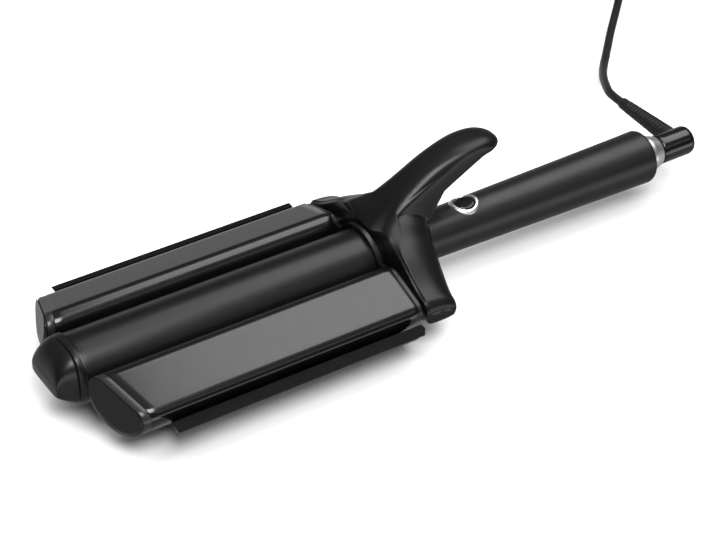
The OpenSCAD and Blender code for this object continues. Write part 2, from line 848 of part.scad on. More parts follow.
// The cord leaves the strain relief level, drops to the surface and runs to its coil
cord_route = [
  [relief_x, relief_tip, axis_h], [relief_x, relief_tip + 4, axis_h], [167.6, 56, 20.4],
  [170.6, 62, 19], [175.2, 69.5, 16.8], [181, 78, 13.6], [187.5, 86.5, 10], [194, 94.5, 6.8],
  [201, 102.5, 4.2], [208.5, 110.5, 2.7], [217, 119.5, 2.25], [228, 131, 2.25],
  [240, 143, 2.25], [252, 155, 2.25], [264, 167, 2.5], [273, 176, 3.3], [279, 182, 3.8]
];
coil_pitch = 1.27 * cord_d;
coil_in = 4 * cord_d + 0.1;
coil_turns = 3.1;
coil_climb = 0.5;
coil_layers = 4;
coil_out = coil_in + coil_pitch * coil_turns;
coil_z = 3.8;
coil_start = -45;
coil_join = cord_route[len(cord_route) - 1] + cord_d * [sin(45), sin(45), 0];
coil_mid = [coil_join[0] - coil_out * cos(coil_start), coil_join[1] - coil_out * sin(coil_start)];
coil_total = coil_layers * coil_turns + (coil_layers - 1) * coil_climb;

function coil_point(t) =
  let (
    k = min(coil_layers - 1, floor(t / (coil_turns + coil_climb))),
    u = t - k * (coil_turns + coil_climb),
    wound = min(u, coil_turns),
    r = k % 2 == 0 ? coil_out - coil_pitch * wound : coil_in + coil_pitch * wound,
    z = coil_z + coil_pitch * (k + max(0, u - coil_turns) / coil_climb),
    a = coil_start + 360 * t
  )
  [coil_mid[0] + r * cos(a), coil_mid[1] + r * sin(a), z];

coil_steps = round(24 * coil_total);
coil_turned = [for (i = [0 : coil_steps]) coil_point(coil_total * i / coil_steps)];
coil_last = coil_turned[coil_steps];
tail_dir = unit(coil_last - coil_turned[coil_steps - 1]);
tail_len = 46;
plug_z = 9;
coil_tail = [for (i = [1 : 9])
  let (t = i / 9)
  [coil_last[0] + tail_dir[0] * tail_len * t, coil_last[1] + tail_dir[1] * tail_len * t,
    mix(coil_last[2], plug_z, ease(t * 1.12))]];
coil_path = concat([cord_route[len(cord_route) - 1]], coil_turned, coil_tail);
plug_at = coil_tail[len(coil_tail) - 1];
plug_turn = atan2(tail_dir[1], tail_dir[0]);

function path_length(p, i = 1) = i < len(p) ? norm(p[i] - p[i - 1]) + path_length(p, i + 1) : 0;
coil_gap = min([for (i = [0 : 2 : coil_steps])
  for (j = [i + 14 : coil_steps])
    norm(coil_turned[i] - coil_turned[j])]) - cord_d;

module cord_run() {
  color("#1a1a1b")
    tube(open_curve(cord_route, 2), cord_d / 2, 10);
}

module cord_coil() {
  echo(coil_least_gap = coil_gap, cord_length = path_length(coil_path) + path_length(open_curve(cord_route, 2)));
  color("#1a1a1b")
    tube(coil_path, cord_d / 2, 6);
}

module cord_tie() {
  low = coil_z - cord_d / 2 - 0.3;
  high = coil_z + (coil_layers - 1) * coil_pitch + cord_d / 2 + 0.3;
  near = coil_in - cord_d / 2 - 0.3;
  far = coil_out + cord_d / 2 + 0.3;
  color("#0f0f10")
    translate([coil_mid[0], coil_mid[1], 0])
      rotate([0, 0, 100])
        translate([0, 4, 0])
          rotate([90, 0, 0])
            linear_extrude(height = 8)
              difference() {
                translate([near - 1.2, low - 1.2])
                  square([far - near + 2.4, high - low + 2.4]);
                translate([near, low])
                  square([far - near, high - low]);
              }
}

module plug_body() {
  color("#141415")
    translate(plug_at)
      rotate([0, 0, plug_turn]) {
        rotate([0, 90, 0])
          cylinder(h = 12, r1 = 3.2, r2 = 5.5);
        intersection() {
          translate([0, 0, -8.5])
            linear_extrude(height = 17)
              polygon([[10, -6], [18, -9], [28, -12], [38, -12], [38, 12], [28, 12], [18, 9], [10, 6]]);
          rotate([90, 0, 0])
            translate([0, 0, -13])
              linear_extrude(height = 26)
                polygon([[10, -5.5], [22, -6.5], [30, -8.5], [38, -8.5], [38, 8.5], [30, 8.5], [22, 6.5], [10, 5.5]]);
        }
      }
}

module plug_pins() {
  color("#c9a24a")
    translate(plug_at)
      rotate([0, 0, plug_turn])
        for (s = [-1, 1])
          translate([38, s * 6.35 - 0.75, -3.2])
            cube([17.5, 1.5, 6.4]);
}

middle_barrel();
lower_plate();
under_cover();
nose_cap();
middle_heater();
heat_sensor();
hub_housing();
hinge_pin();
torsion_spring();
handle_shell();
handle_end_plate();
bright_ring();
button_bezel();
circuit_board();
button_switch();
swivel_bearing();
heater_wires();
yoke_lever();
yoke_collar();
left_bush();
right_bush();
left_half_barrel();
right_half_barrel();
left_front_collar();
right_front_collar();
left_end_cap();
right_end_cap();
left_heater();
right_heater();
power_button();
swivel_shaft();
swivel_knob();
strain_relief();
cord_run();
cord_coil();
cord_tie();
plug_body();
plug_pins();
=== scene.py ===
import json
import math
import types

import bmesh
import bpy
import numpy as np
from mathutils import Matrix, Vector


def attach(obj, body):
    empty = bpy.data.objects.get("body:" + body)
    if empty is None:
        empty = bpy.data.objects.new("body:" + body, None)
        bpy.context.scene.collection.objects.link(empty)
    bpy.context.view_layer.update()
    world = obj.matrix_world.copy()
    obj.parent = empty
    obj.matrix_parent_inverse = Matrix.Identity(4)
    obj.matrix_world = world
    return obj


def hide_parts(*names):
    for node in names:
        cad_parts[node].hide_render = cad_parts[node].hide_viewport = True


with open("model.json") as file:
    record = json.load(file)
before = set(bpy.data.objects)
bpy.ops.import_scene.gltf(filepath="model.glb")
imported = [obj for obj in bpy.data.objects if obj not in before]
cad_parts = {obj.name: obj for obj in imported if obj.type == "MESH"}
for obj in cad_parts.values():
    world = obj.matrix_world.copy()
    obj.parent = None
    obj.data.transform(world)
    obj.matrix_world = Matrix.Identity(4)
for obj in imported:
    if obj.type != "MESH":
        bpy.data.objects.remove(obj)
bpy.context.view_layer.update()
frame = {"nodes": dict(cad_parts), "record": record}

bl_info = {
    "name": "Hair waver",
    "version": (1, 0, 0),
    "blender": (4, 5, 0),
    "location": "View3D > Sidebar > Hair waver",
    "description": "Dresses the hair waver's CAD frame with finished surfaces, materials, cord and stage",
    "category": "Object",
}

MM = 0.001
LOWER, UPPER, SWIVEL = "handle_and_lower_jaw", "upper_jaw", "cord_swivel"


# ---------- sizes and colours ----------


def length(name, description, default):
    return bpy.props.FloatProperty(
        name=name, description=description, default=default, unit="LENGTH", subtype="DISTANCE", precision=5
    )


def angle(name, description, default):
    return bpy.props.FloatProperty(
        name=name, description=description, default=math.radians(default), unit="ROTATION", subtype="ANGLE"
    )


def colour(name, description, default):
    return bpy.props.FloatVectorProperty(
        name=name, description=description, default=default, size=3, min=0, max=1, subtype="COLOR"
    )


class WaverSizes(bpy.types.PropertyGroup):
    """Sizes of the waver, which follow part.scad, and the colours of its finishes"""

    barrel: length("Barrel diameter", "Outer diameter of the middle barrel and of the half barrels", 0.032)
    wall: length("Barrel wall", "Wall of the barrels", 0.0016)
    gap: length("Hair gap", "Gap for the hair between two barrels", 0.0039)
    edge: length("Half barrel edge", "Radius of the half barrels' rounded edges", 0.0062)
    flat: length("Half barrel flat", "Height of the half barrels' flat face above their centre line", 0.005)
    lean: angle("Half barrel lean", "Lean of the half barrels' flat face to the outside", 18)
    sweep: angle("Front sweep", "Sweep of the half barrels' front ends", 17)
    collar: length("Front collar length", "Length of the grey collar at each half barrel's front", 0.0045)
    cap: length("End cap length", "Length of the end caps", 0.0032)
    nose: length("Nose length", "Length of the nose in front of the middle barrel", 0.0165)
    nose_seam: length("Nose seam", "Distance of the nose's seam groove from the middle barrel", 0.0063)
    lever: length("Lever width", "Width of the thumb lever", 0.0192)
    handle_front: length("Handle front diameter", "Diameter of the handle at its front", 0.0228)
    handle_rear: length("Handle rear diameter", "Diameter of the handle at its rear", 0.0268)
    knob: length("Knob diameter", "Diameter of the cord knob", 0.0146)
    cord: length("Cord diameter", "Diameter of the cord", 0.0044)
    lever_black: colour("Lever black", "Matte black of the yoke and lever", (0.0046, 0.0046, 0.0049))
    coat_black: colour("Coating black", "Glossy black of the barrels", (0.0032, 0.0032, 0.0035))
    plastic_black: colour("Plastic black", "Black of the handle, nose and caps", (0.0042, 0.0042, 0.0045))
    collar_grey: colour("Collar grey", "Grey of the front collars", (0.016, 0.016, 0.0165))
    chrome: colour("Chrome", "Bright ring and button bezel", (0.95, 0.95, 0.95))
    rubber: colour("Cord rubber", "Cord, strain relief and plug", (0.0065, 0.0065, 0.0068))


def dims(p):
    """Lengths in millimetres in the way of part.scad: the panel's sizes, the sizes that stay fixed, and
    what follows from both. X counts from the hinge axis, and heights from the floor."""
    mm, half_mm = 1 / MM, 0.5 / MM
    d = types.SimpleNamespace()
    d.r, d.wall, d.edge, d.flat = p.barrel * half_mm, p.wall * mm, p.edge * mm, p.flat * mm
    d.lean, d.sweep = p.lean, p.sweep
    d.collar, d.cap, d.nose, d.nose_seam = p.collar * mm, p.cap * mm, p.nose * mm, p.nose_seam * mm
    d.lever_w, d.knob_r, d.cord = p.lever * half_mm, p.knob * half_mm, p.cord * mm
    d.h_front, d.h_rear = p.handle_front * half_mm, p.handle_rear * half_mm

    gap, plate_t, sole_t, hub_front, hub_r, cheek_clear = p.gap * mm, 2, 3.1, 14.0, 12.2, 0.4
    barrel_len, half_len, half_back, ring_len = 152.5, 144, 8.5, 9
    d.rise, d.sleeve, d.front_face = 4.0, 3.2, -18.4
    d.h_start, d.h_end, d.h_wall, d.button_x = 8, 143.5, 2.2, 36
    d.knob_gap, d.knob_len, d.relief_len = 0.4, 20, 38

    d.half_y = math.sqrt((2 * d.r + gap) ** 2 - d.rise**2)
    d.axis_h = d.r + gap + plate_t + sole_t - d.rise
    d.half_z = d.axis_h + d.rise
    d.barrel_rear, d.barrel_front = -hub_front, -hub_front - barrel_len
    d.half_rear = d.barrel_rear - half_back
    d.seam_x = d.half_rear - half_len
    d.yoke_w = d.half_y + d.r
    d.cheek_y = hub_r + cheek_clear
    d.ring_end = d.h_end + ring_len
    d.knob_x = d.ring_end + d.knob_gap
    d.relief_x = d.knob_x + 13.5
    d.relief_tip = d.knob_r - 0.4 + d.relief_len
    return d


# ---------- shared numpy surfaces ----------


def ease(t):
    """Runs smoothly from 0 to 1 while t does, as 3 t^2 - 2 t^3."""
    t = np.clip(t, 0, 1)
    return t * t * (3 - 2 * t)


def mix(a, b, t):
    """Runs straight from a to b while t runs from 0 to 1."""
    return a + (b - a) * t


def spline(p, steps, closed=False):
    """Smooth line through points a, b, c, d: each span from b to c is
    0.5 (2b + (c - a) t + (2a - 5b + 4c - d) t^2 + (3b - 3c + d - a) t^3)."""
    p = np.asarray(p, float)
    if closed:
        a, b, c, d = (np.roll(p, s, -2) for s in (1, 0, -1, -2))
    else:
        q = np.concatenate([p[..., :1, :], p, p[..., -1:, :]], -2)
        a, b, c, d = q[..., :-3, :], q[..., 1:-2, :], q[..., 2:-1, :], q[..., 3:, :]
    a, b, c, d = (v[..., None, :] for v in (a, b, c, d))
    t = (np.arange(steps) / steps)[:, None]
    out = 0.5 * (2 * b + (c - a) * t + (2 * a - 5 * b + 4 * c - d) * t**2 + (3 * b - 3 * c + d - a) * t**3)
    out = out.reshape(*p.shape[:-2], -1, p.shape[-1])
    return out if closed else np.concatenate([out, p[..., -1:, :]], -2)


def rounded(line, r, steps=4, closed=False):
    """Outline with each corner eased: a quadratic curve from r before it to r after it,
    and never over more than 0.45 of a side."""
    p = np.asarray(line, float)

    def toward(q):
        d = q - p
        far = np.maximum(np.linalg.norm(d, axis=1, keepdims=True), 1e-9)
        return p + d * np.minimum(0.45, r / far)

    a, b = toward(np.roll(p, 1, 0)), toward(np.roll(p, -1, 0))
    t = np.linspace(0, 1, steps + 1)[None, :, None]
    q = (1 - t) ** 2 * a[:, None] + 2 * t * (1 - t) * p[:, None] + t**2 * b[:, None]
    if closed:
        return q.reshape(-1, 2)
    return np.vstack([p[:1], q[1:-1].reshape(-1, 2), p[-1:]])


def solid(name, points, faces, sharp):
    """Mesh object from points in millimetres, its faces turned outward and its creases kept."""
    me = bpy.data.meshes.new(name)
    me.from_pydata((points * MM).tolist(), [], faces)
    bm = bmesh.new()
    bm.from_mesh(me)
    bmesh.ops.remove_doubles(bm, verts=bm.verts, dist=2e-7)
    bmesh.ops.dissolve_degenerate(bm, edges=bm.edges, dist=1e-7)
    bm.to_mesh(me)
    bm.free()
    me.validate()
    me.shade_smooth()
    me.set_sharp_from_angle(angle=math.radians(sharp))
    obj = bpy.data.objects.new(name, me)
    bpy.context.scene.collection.objects.link(obj)
    return obj


def loft(name, rings, loop=False, sharp=38.0):
    """Closed surface over a grid of points. Each row is a ring that closes on itself. The first
    and last rings are joined when loop is set, and otherwise filled about their middles."""
    rings = np.asarray(rings, float)
    m, n = rings.shape[:2]
    ids = np.arange(m * n).reshape(m, n)
    rows = np.vstack([ids, ids[:1]]) if loop else ids
    a, b = rows[:-1], rows[1:]
    quads = np.stack([a, b, np.roll(b, -1, 1), np.roll(a, -1, 1)], -1).reshape(-1, 4)
    pts = rings.reshape(-1, 3)
    tris = np.empty((0, 3), int)
    if not loop:
        pts = np.vstack([pts, rings[0].mean(0), rings[-1].mean(0)])
        e0, e1 = ids[0], ids[-1]
        tris = np.vstack([
            np.stack([np.full(n, m * n), e0, np.roll(e0, -1)], 1),
            np.stack([np.full(n, m * n + 1), np.roll(e1, -1), e1], 1),
        ])
    every = np.vstack([quads[:, [0, 1, 2]], quads[:, [0, 2, 3]], tris])
    near = pts - pts.mean(0)
    if np.einsum("ij,ij->", near[every[:, 0]], np.cross(near[every[:, 1]], near[every[:, 2]])) < 0:
        quads, tris = quads[:, ::-1], tris[:, ::-1]
    return solid(name, pts, quads.tolist() + tris.tolist(), sharp)


def turned(name, outline, origin, axis="x", n=96, loop=False, sharp=38.0):
    """Surface of revolution: an outline of (distance along the axis, radius) points turned
    about a line through origin along x, y or z."""
    o = np.asarray(outline, float)
    a = np.linspace(0, 2 * math.pi, n, endpoint=False)
    along = np.repeat(o[:, :1], n, 1)
    u, v = o[:, 1:] * np.cos(a), o[:, 1:] * np.sin(a)
    order = {"x": (along, u, v), "y": (u, along, v), "z": (u, v, along)}[axis]
    return loft(name, np.stack(order, -1) + np.asarray(origin, float), loop, sharp)


def tube(name, path, radius, n=20):
    """Tube about a line that never stands upright: at each point the ring's axes are the
    tangent crossed with the vertical, and that crossed with the tangent."""
    path = np.asarray(path, float)
    t = np.gradient(path, axis=0)
    t /= np.linalg.norm(t, axis=1, keepdims=True)
    side = np.cross(t, [0.0, 0.0, 1.0])
    side /= np.linalg.norm(side, axis=1, keepdims=True)
    up = np.cross(side, t)
    a = np.linspace(0, 2 * math.pi, n, endpoint=False)[None, :, None]
    r = np.broadcast_to(np.asarray(radius, float), (len(path),))[:, None, None]
    rings = path[:, None] + r * (np.cos(a) * side[:, None] + np.sin(a) * up[:, None])
    return loft(name, rings, sharp=60)


def block(name, low, high, turn=0.0, about=(0.0, 0.0, 0.0)):
    """Box between two corners, turned by an angle in the X-Z plane about a point."""
    low, high, about = (np.asarray(v, float) for v in (low, high, about))
    pick = np.array([[0, 0, 0], [1, 0, 0], [1, 1, 0], [0, 1, 0], [0, 0, 1], [1, 0, 1], [1, 1, 1], [0, 1, 1]])
    pts = low + (high - low) * pick
    c, s = math.cos(turn), math.sin(turn)
    pts = pts @ np.array([[c, 0, s], [0, 1, 0], [-s, 0, c]]) + about
    faces = [(0, 3, 2, 1), (4, 5, 6, 7), (0, 1, 5, 4), (1, 2, 6, 5), (2, 3, 7, 6), (3, 0, 4, 7)]
    return solid(name, pts, faces, 30)


def shaped(obj, steps, sharp=38.0):
    """Applies unions and cuts, a list of (operation, other object), and deletes the others."""
    for k, (operation, other) in enumerate(steps):
        mod = obj.modifiers.new(f"step_{k}", "BOOLEAN")
        mod.operation, mod.object, mod.solver = operation, other, "EXACT"
    me = bpy.data.meshes.new_from_object(obj.evaluated_get(bpy.context.evaluated_depsgraph_get()))
    obj.modifiers.clear()
    obj.data = me
    for _, other in steps:
        bpy.data.objects.remove(other)
    if not len(me.polygons):
        raise RuntimeError(f"{obj.name}: nothing is left after its cuts")
    me.shade_smooth()
    me.set_sharp_from_angle(angle=math.radians(sharp))


def dress(obj, body, slot, *nodes, look=None):
    """Lets a piece ride on its body, stand for the CAD nodes and take its slot's finish, or the one
    that look names."""
    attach(obj, body)
    if nodes:
        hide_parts(*nodes)
    obj.data.materials.clear()
    obj.data.materials.append(material(look or slot))


# ---------- finishes ----------


def finish(name, base, rough, metal=0.0, coat=0.0, coat_rough=0.06, specular=0.5, spread=0.05,
           grain=(3000.0, 0.05), mottle=(70.0, 0.15), stretch=(1.0, 1.0, 1.0)):
    """Procedural finish on object coordinates: slow mottling in colour, and in roughness by spread,
    and a fine grain in the bump. Mottle and grain are each a scale and a strength."""
    mat = bpy.data.materials.new(name)
    mat.use_nodes = True
    nt = mat.node_tree
    shader = nt.nodes["Principled BSDF"]
    shader.inputs["Metallic"].default_value = metal
    shader.inputs["Coat Weight"].default_value = coat
    shader.inputs["Coat Roughness"].default_value = coat_rough
    shader.inputs["Specular IOR Level"].default_value = specular
    coords = nt.nodes.new("ShaderNodeTexCoord")
    place = nt.nodes.new("ShaderNodeMapping")
    place.inputs["Scale"].default_value = stretch
    nt.links.new(coords.outputs["Object"], place.inputs["Vector"])

    def noise(scale, detail):
        node = nt.nodes.new("ShaderNodeTexNoise")
        node.inputs["Scale"].default_value = scale
        node.inputs["Detail"].default_value = detail
        nt.links.new(place.outputs["Vector"], node.inputs["Vector"])
        return node.outputs["Fac"]

    def ranged(value, low, high):
        node = nt.nodes.new("ShaderNodeMapRange")
        node.inputs["From Min"].default_value = 0.3
        node.inputs["From Max"].default_value = 0.7
        node.inputs["To Min"].default_value = low
        node.inputs["To Max"].default_value = high
        nt.links.new(value, node.inputs["Value"])
        return node.outputs["Result"]

    ramp = nt.nodes.new("ShaderNodeValToRGB")
    ramp.color_ramp.elements[0].position = 0.3
    ramp.color_ramp.elements[1].position = 0.7
    ramp.color_ramp.elements[0].color = [c * (1 - mottle[1]) for c in base] + [1]
    ramp.color_ramp.elements[1].color = [min(1, c * (1 + mottle[1])) for c in base] + [1]
    nt.links.new(noise(mottle[0], 3.0), ramp.inputs["Fac"])
    nt.links.new(ramp.outputs["Color"], shader.inputs["Base Color"])
    roughness = ranged(noise(mottle[0] * 2.3, 4.0), rough - spread, rough + spread)
    nt.links.new(roughness, shader.inputs["Roughness"])
    bump = nt.nodes.new("ShaderNodeBump")
    bump.inputs["Strength"].default_value = grain[1]
    bump.inputs["Distance"].default_value = 0.0002
    nt.links.new(noise(grain[0], 2.0), bump.inputs["Height"])
    nt.links.new(bump.outputs["Normal"], shader.inputs["Normal"])
    return mat


def material(slot):
    """The finish of a material slot of the record, or the middle barrel's own gloss, made once."""
    name = f"finish_{slot}"
    if name in bpy.data.materials:
        return bpy.data.materials[name]
    p = bpy.context.scene.waver_sizes
    coat, plastic, lever, rubber = (
        tuple(c) for c in (p.coat_black, p.plastic_black, p.lever_black, p.rubber)
    )
    smooth = dict(grain=(5200, 0.015), spread=0.02)
    recipes = {
        "black_coating": dict(base=coat, rough=0.22, coat=0.3, coat_rough=0.1, **smooth),
        "barrel_gloss": dict(base=coat, rough=0.34, specular=0.42, grain=(5200, 0.02), spread=0.02),
        "plate_coating": dict(base=coat, rough=0.3, specular=0.3, **smooth),
        "matte_black": dict(
            base=lever, rough=0.32, specular=0.34, grain=(4200, 0.12), mottle=(45, 0.12), spread=0.025
        ),
        "satin_black": dict(base=plastic, rough=0.34, grain=(4200, 0.1), mottle=(60, 0.12), spread=0.03),
        "handle_black": dict(base=plastic, rough=0.4, grain=(4600, 0.06), mottle=(40, 0.12), spread=0.025),
        "grey_collar": dict(
            base=tuple(p.collar_grey), rough=0.26, grain=(4200, 0.04), mottle=(90, 0.08), spread=0.02
        ),
        "gloss_black": dict(
            base=(0.003, 0.003, 0.0033), rough=0.2, coat=0.25, coat_rough=0.08, grain=(5200, 0.01),
            spread=0.02,
        ),
        "chrome": dict(
            base=tuple(p.chrome), rough=0.38, metal=1.0, grain=(3800, 0.02), mottle=(120, 0.04), spread=0.04
        ),
        "steel": dict(base=(0.5, 0.5, 0.51), rough=0.32, metal=1.0, grain=(2600, 0.08), stretch=(1, 4, 1)),
        "bronze": dict(base=(0.42, 0.24, 0.1), rough=0.4, metal=1.0, grain=(2200, 0.1)),
        "heater_ceramic": dict(base=(0.62, 0.58, 0.5), rough=0.7, grain=(1600, 0.3)),
        "board": dict(base=(0.02, 0.11, 0.045), rough=0.42, grain=(1400, 0.1)),
        "switch": dict(base=(0.03, 0.03, 0.032), rough=0.45, grain=(2400, 0.1)),
        "wire": dict(base=(0.32, 0.04, 0.03), rough=0.5, grain=(2000, 0.1)),
        "cord_rubber": dict(base=rubber, rough=0.44, grain=(3400, 0.22), mottle=(55, 0.18), spread=0.04),
        "pins": dict(base=(0.68, 0.46, 0.2), rough=0.28, metal=1.0, grain=(2600, 0.06), stretch=(1, 1, 5)),
    }
    return finish(name, **recipes[slot])


# ---------- stage ----------


def area_light(name, at, toward, size, power, mirrored=True):
    """Rectangular soft light, in metres and watts. One that isn't mirrored doesn't show in gloss."""
    light = bpy.data.lights.new(name, "AREA")
    light.shape = "RECTANGLE"
    light.size, light.size_y = size
    light.energy = power
    obj = bpy.data.objects.new(name, light)
    obj.visible_glossy = mirrored
    obj.location = at
    obj.rotation_euler = (Vector(toward) - Vector(at)).to_track_quat("-Z", "Y").to_euler()
    bpy.context.scene.collection.objects.link(obj)


def make_stage():
    """Camera at the photograph's angle, pale floor hidden from gloss, soft lights and a studio world."""
    scene = bpy.context.scene
    cam = bpy.data.objects.new("camera", bpy.data.cameras.new("camera"))
    at, aim = Vector((-0.4584, -0.6817, 0.6056)), Vector((-0.02298, 0.0, 0.01637))
    cam.location = at
    cam.rotation_euler = (aim - at).to_track_quat("-Z", "Y").to_euler()
    cam.data.lens, cam.data.sensor_width = 108.8, 36
    cam.data.clip_start, cam.data.clip_end = 0.01, 50
    scene.collection.objects.link(cam)
    scene.camera = cam

    me = bpy.data.meshes.new("floor")
    far = 6.0
    me.from_pydata([(-far, -far, 0), (far, -far, 0), (far, far, 0), (-far, far, 0)], [], [(0, 1, 2, 3)])
    floor = bpy.data.objects.new("floor", me)
    scene.collection.objects.link(floor)
    pale = finish("finish_floor", (0.86, 0.86, 0.86), 0.6, specular=0.2, grain=(300, 0.02), mottle=(2, 0.01))
    me.materials.append(pale)
    floor.visible_glossy = False

    scene.world = studio_world()
    scene.view_settings.view_transform = "Standard"

    area_light("overhead_softbox", (0.66, 0.03, 1.0), (0.66, 0.03, 0), (0.94, 0.88), 8.6)
    area_light("lever_softbox", (-0.2, -0.6, 0.98), (0, 0, 0.03), (0.6, 0.55), 11.5)
    area_light("side_strip", (0.75, -1.25, 0.74), (0.05, 0, 0.02), (1.0, 0.26), 0.6)
    area_light("back_fill", (-0.35, 0.8, 1.7), (0, 0, 0), (2.2, 2.0), 37, mirrored=False)
    area_light("front_fill", (0.1, -1.6, 1.6), (0, 0, 0.02), (1.8, 1.2), 12, mirrored=False)


def studio_world():
    """A dim room whose brightness goes by direction: a grey floor below the horizon, dark walls with a
    lighter band low at the back, a slightly lighter ceiling, and a low glow in front."""
    world = bpy.data.worlds.new("studio")
    world.use_nodes = True
    nt = world.node_tree
    back = nt.nodes["Background"]
    back.inputs["Color"].default_value = (1, 1, 1, 1)
    coords = nt.nodes.new("ShaderNodeTexCoord")
    split = nt.nodes.new("ShaderNodeSeparateXYZ")
    nt.links.new(coords.outputs["Generated"], split.inputs["Vector"])

    def ranged(value, from_min, from_max, to_min, to_max):
        node = nt.nodes.new("ShaderNodeMapRange")
        node.interpolation_type = "SMOOTHSTEP"
        node.inputs["From Min"].default_value = from_min
        node.inputs["From Max"].default_value = from_max
        node.inputs["To Min"].default_value = to_min
        node.inputs["To Max"].default_value = to_max
        nt.links.new(value, node.inputs["Value"])
        return node.outputs["Result"]

    def combine(how, one, other):
        node = nt.nodes.new("ShaderNodeMath")
        node.operation = how
        nt.links.new(one, node.inputs[0])
        nt.links.new(other, node.inputs[1])
        return node.outputs["Value"]

    y, z = split.outputs["Y"], split.outputs["Z"]
    room = combine("ADD", ranged(z, -0.05, 0.05, 0.33, 0.04), ranged(z, 0.3, 1.0, 0.0, 0.2))
    low = combine("MULTIPLY", ranged(z, -0.45, -0.28, 0.0, 1.0), ranged(z, -0.12, -0.02, 1.0, 0.0))
    glow = combine("MULTIPLY", low, ranged(y, -0.8, -0.5, 1.8, 0.0))
    wall = combine("MULTIPLY", ranged(y, 0.6, 0.92, 0.0, 0.34), ranged(z, 0.15, 0.4, 1.0, 0.0))
    nt.links.new(combine("ADD", combine("ADD", room, glow), wall), back.inputs["Strength"])
    return world


# ---------- cord ----------


def cord_lines(d):
    """The cord's line as part.scad has it: a route over the floor, a coil whose radius runs out
    and in by one pitch a turn and climbs between layers, and a straight tail to the plug."""
    route = np.array([
        [d.relief_x, d.relief_tip, d.axis_h], [d.relief_x, d.relief_tip + 4, d.axis_h], [167.6, 56, 20.4],
        [170.6, 62, 19], [175.2, 69.5, 16.8], [181, 78, 13.6], [187.5, 86.5, 10], [194, 94.5, 6.8],
        [201, 102.5, 4.2], [208.5, 110.5, 2.7], [217, 119.5, 2.25], [228, 131, 2.25], [240, 143, 2.25],
        [252, 155, 2.25], [264, 167, 2.5], [273, 176, 3.3], [279, 182, 3.8],
    ])
    pitch, inner, turns, climb, layers, z0 = 1.27 * d.cord, 4 * d.cord + 0.1, 3.1, 0.5, 4, 3.8
    turn_points, tail_len, plug_z = 52, 46, 9.0
    outer = inner + pitch * turns
    join = route[-1] + d.cord * np.array([math.sqrt(0.5), math.sqrt(0.5), 0])
    mid = join[:2] - outer * np.array([math.cos(-math.pi / 4), math.sin(-math.pi / 4)])
    total = layers * turns + (layers - 1) * climb
    t = np.linspace(0, total, int(round(turn_points * total)) + 1)
    k = np.minimum(layers - 1, np.floor(t / (turns + climb)))
    u = t - k * (turns + climb)
    wound = np.minimum(u, turns)
    r = np.where(k % 2 == 0, outer - pitch * wound, inner + pitch * wound)
    z = z0 + pitch * (k + np.maximum(0, u - turns) / climb)
    a = -math.pi / 4 + 2 * math.pi * t
    coil = np.stack([mid[0] + r * np.cos(a), mid[1] + r * np.sin(a), z], 1)
    way = coil[-1] - coil[-2]
    way /= np.linalg.norm(way)
    s = np.linspace(0, 1, 19)[1:, None]
    tail = coil[-1] + way * tail_len * s
    tail[:, 2] = mix(coil[-1][2], plug_z, ease(s[:, 0] * 1.12))
    line = np.vstack([spline(route, 6), coil, tail])
    return line, mid, inner, outer, pitch, z0, way, tail[-1]


def make_cord(p):
    """The free cord as one tube from the strain relief to the plug, with its tie and plug."""
    d = dims(p)
    line, mid, inner, outer, pitch, z0, way, plug_at = cord_lines(d)
    cord = tube("cord", line, d.cord / 2, 20)
    dress(cord, SWIVEL, "cord_rubber", "cord_run", "cord_coil")

    relief = strain_relief(d)
    dress(relief, SWIVEL, "cord_rubber", "strain_relief")

    tie = cord_tie(d, mid, inner, outer, pitch, z0)
    dress(tie, SWIVEL, "cord_rubber", "cord_tie")

    plug = plug_body(way, plug_at)
    dress(plug, SWIVEL, "cord_rubber", "plug_body")


def strain_relief(d):
    """Turned about its own line: a cone whose radius dips in a rounded groove between ribs,
    then a plain stepped end around the cord."""
    y0, tip, r1, r2, ribs = d.knob_r + 3, d.relief_tip, 4.5, 3.0, 13
    end = tip - 6
    y = np.linspace(y0, end, ribs * 12 + 1)
    phase = ((y - y0) / (end - y0) * ribs) % 1
    groove = ease((0.5 - np.abs(phase - 0.62) * 2.3) * 3)
    r = mix(r1, r2, (y - y0) / (tip - y0)) - 0.5 * groove
    head = rounded([[3.0, r1 - 0.4], [d.knob_r - 0.6, r1 - 0.02], [d.knob_r + 0.8, r1], [y0, r1]], 0.5)
    rear = [[end + 0.01, r[-1]], [end + 0.7, 3.15], [tip - 1.0, 3.0], [tip - 0.2, 2.7], [tip, 2.25]]
    outline = np.vstack([head, np.stack([y, r], 1)[1:], rounded(rear, 0.4)])
    return turned("strain_relief_dressed", outline, (d.relief_x, 0, d.axis_h), "y", 56, sharp=50)


def cord_tie(d, mid, inner, outer, pitch, z0):
    """A strap around one side of the coil: a rounded-rectangle loop in the radial plane, swept
    by the strap's own thin rounded section."""
    clear, layer_steps = 0.75, 3
    low, high = z0 - d.cord / 2 - clear, z0 + layer_steps * pitch + d.cord / 2 + clear
    near, far = inner - d.cord / 2 - clear, outer + d.cord / 2 + clear
    loop = rounded([[near, low], [far, low], [far, high], [near, high]], 2.0, 8, closed=True)
    ahead = np.roll(loop, -1, 0) - np.roll(loop, 1, 0)
    ahead /= np.linalg.norm(ahead, axis=1, keepdims=True)
    outward = np.stack([ahead[:, 1], -ahead[:, 0]], 1)
    thick, wide = 0.5, 3.9
    strap = rounded([[-thick, -wide], [thick, -wide], [thick, wide], [-thick, wide]], 0.35, 3, closed=True)
    u = loop[:, None] + outward[:, None] * strap[None, :, :1]
    across = np.broadcast_to(strap[None, :, 1], u.shape[:2])
    a = math.radians(100)
    x = mid[0] + u[..., 0] * math.cos(a) - across * math.sin(a)
    y = mid[1] + u[..., 0] * math.sin(a) + across * math.cos(a)
    return loft("cord_tie_dressed", np.stack([x, y, u[..., 1]], -1), loop=True)


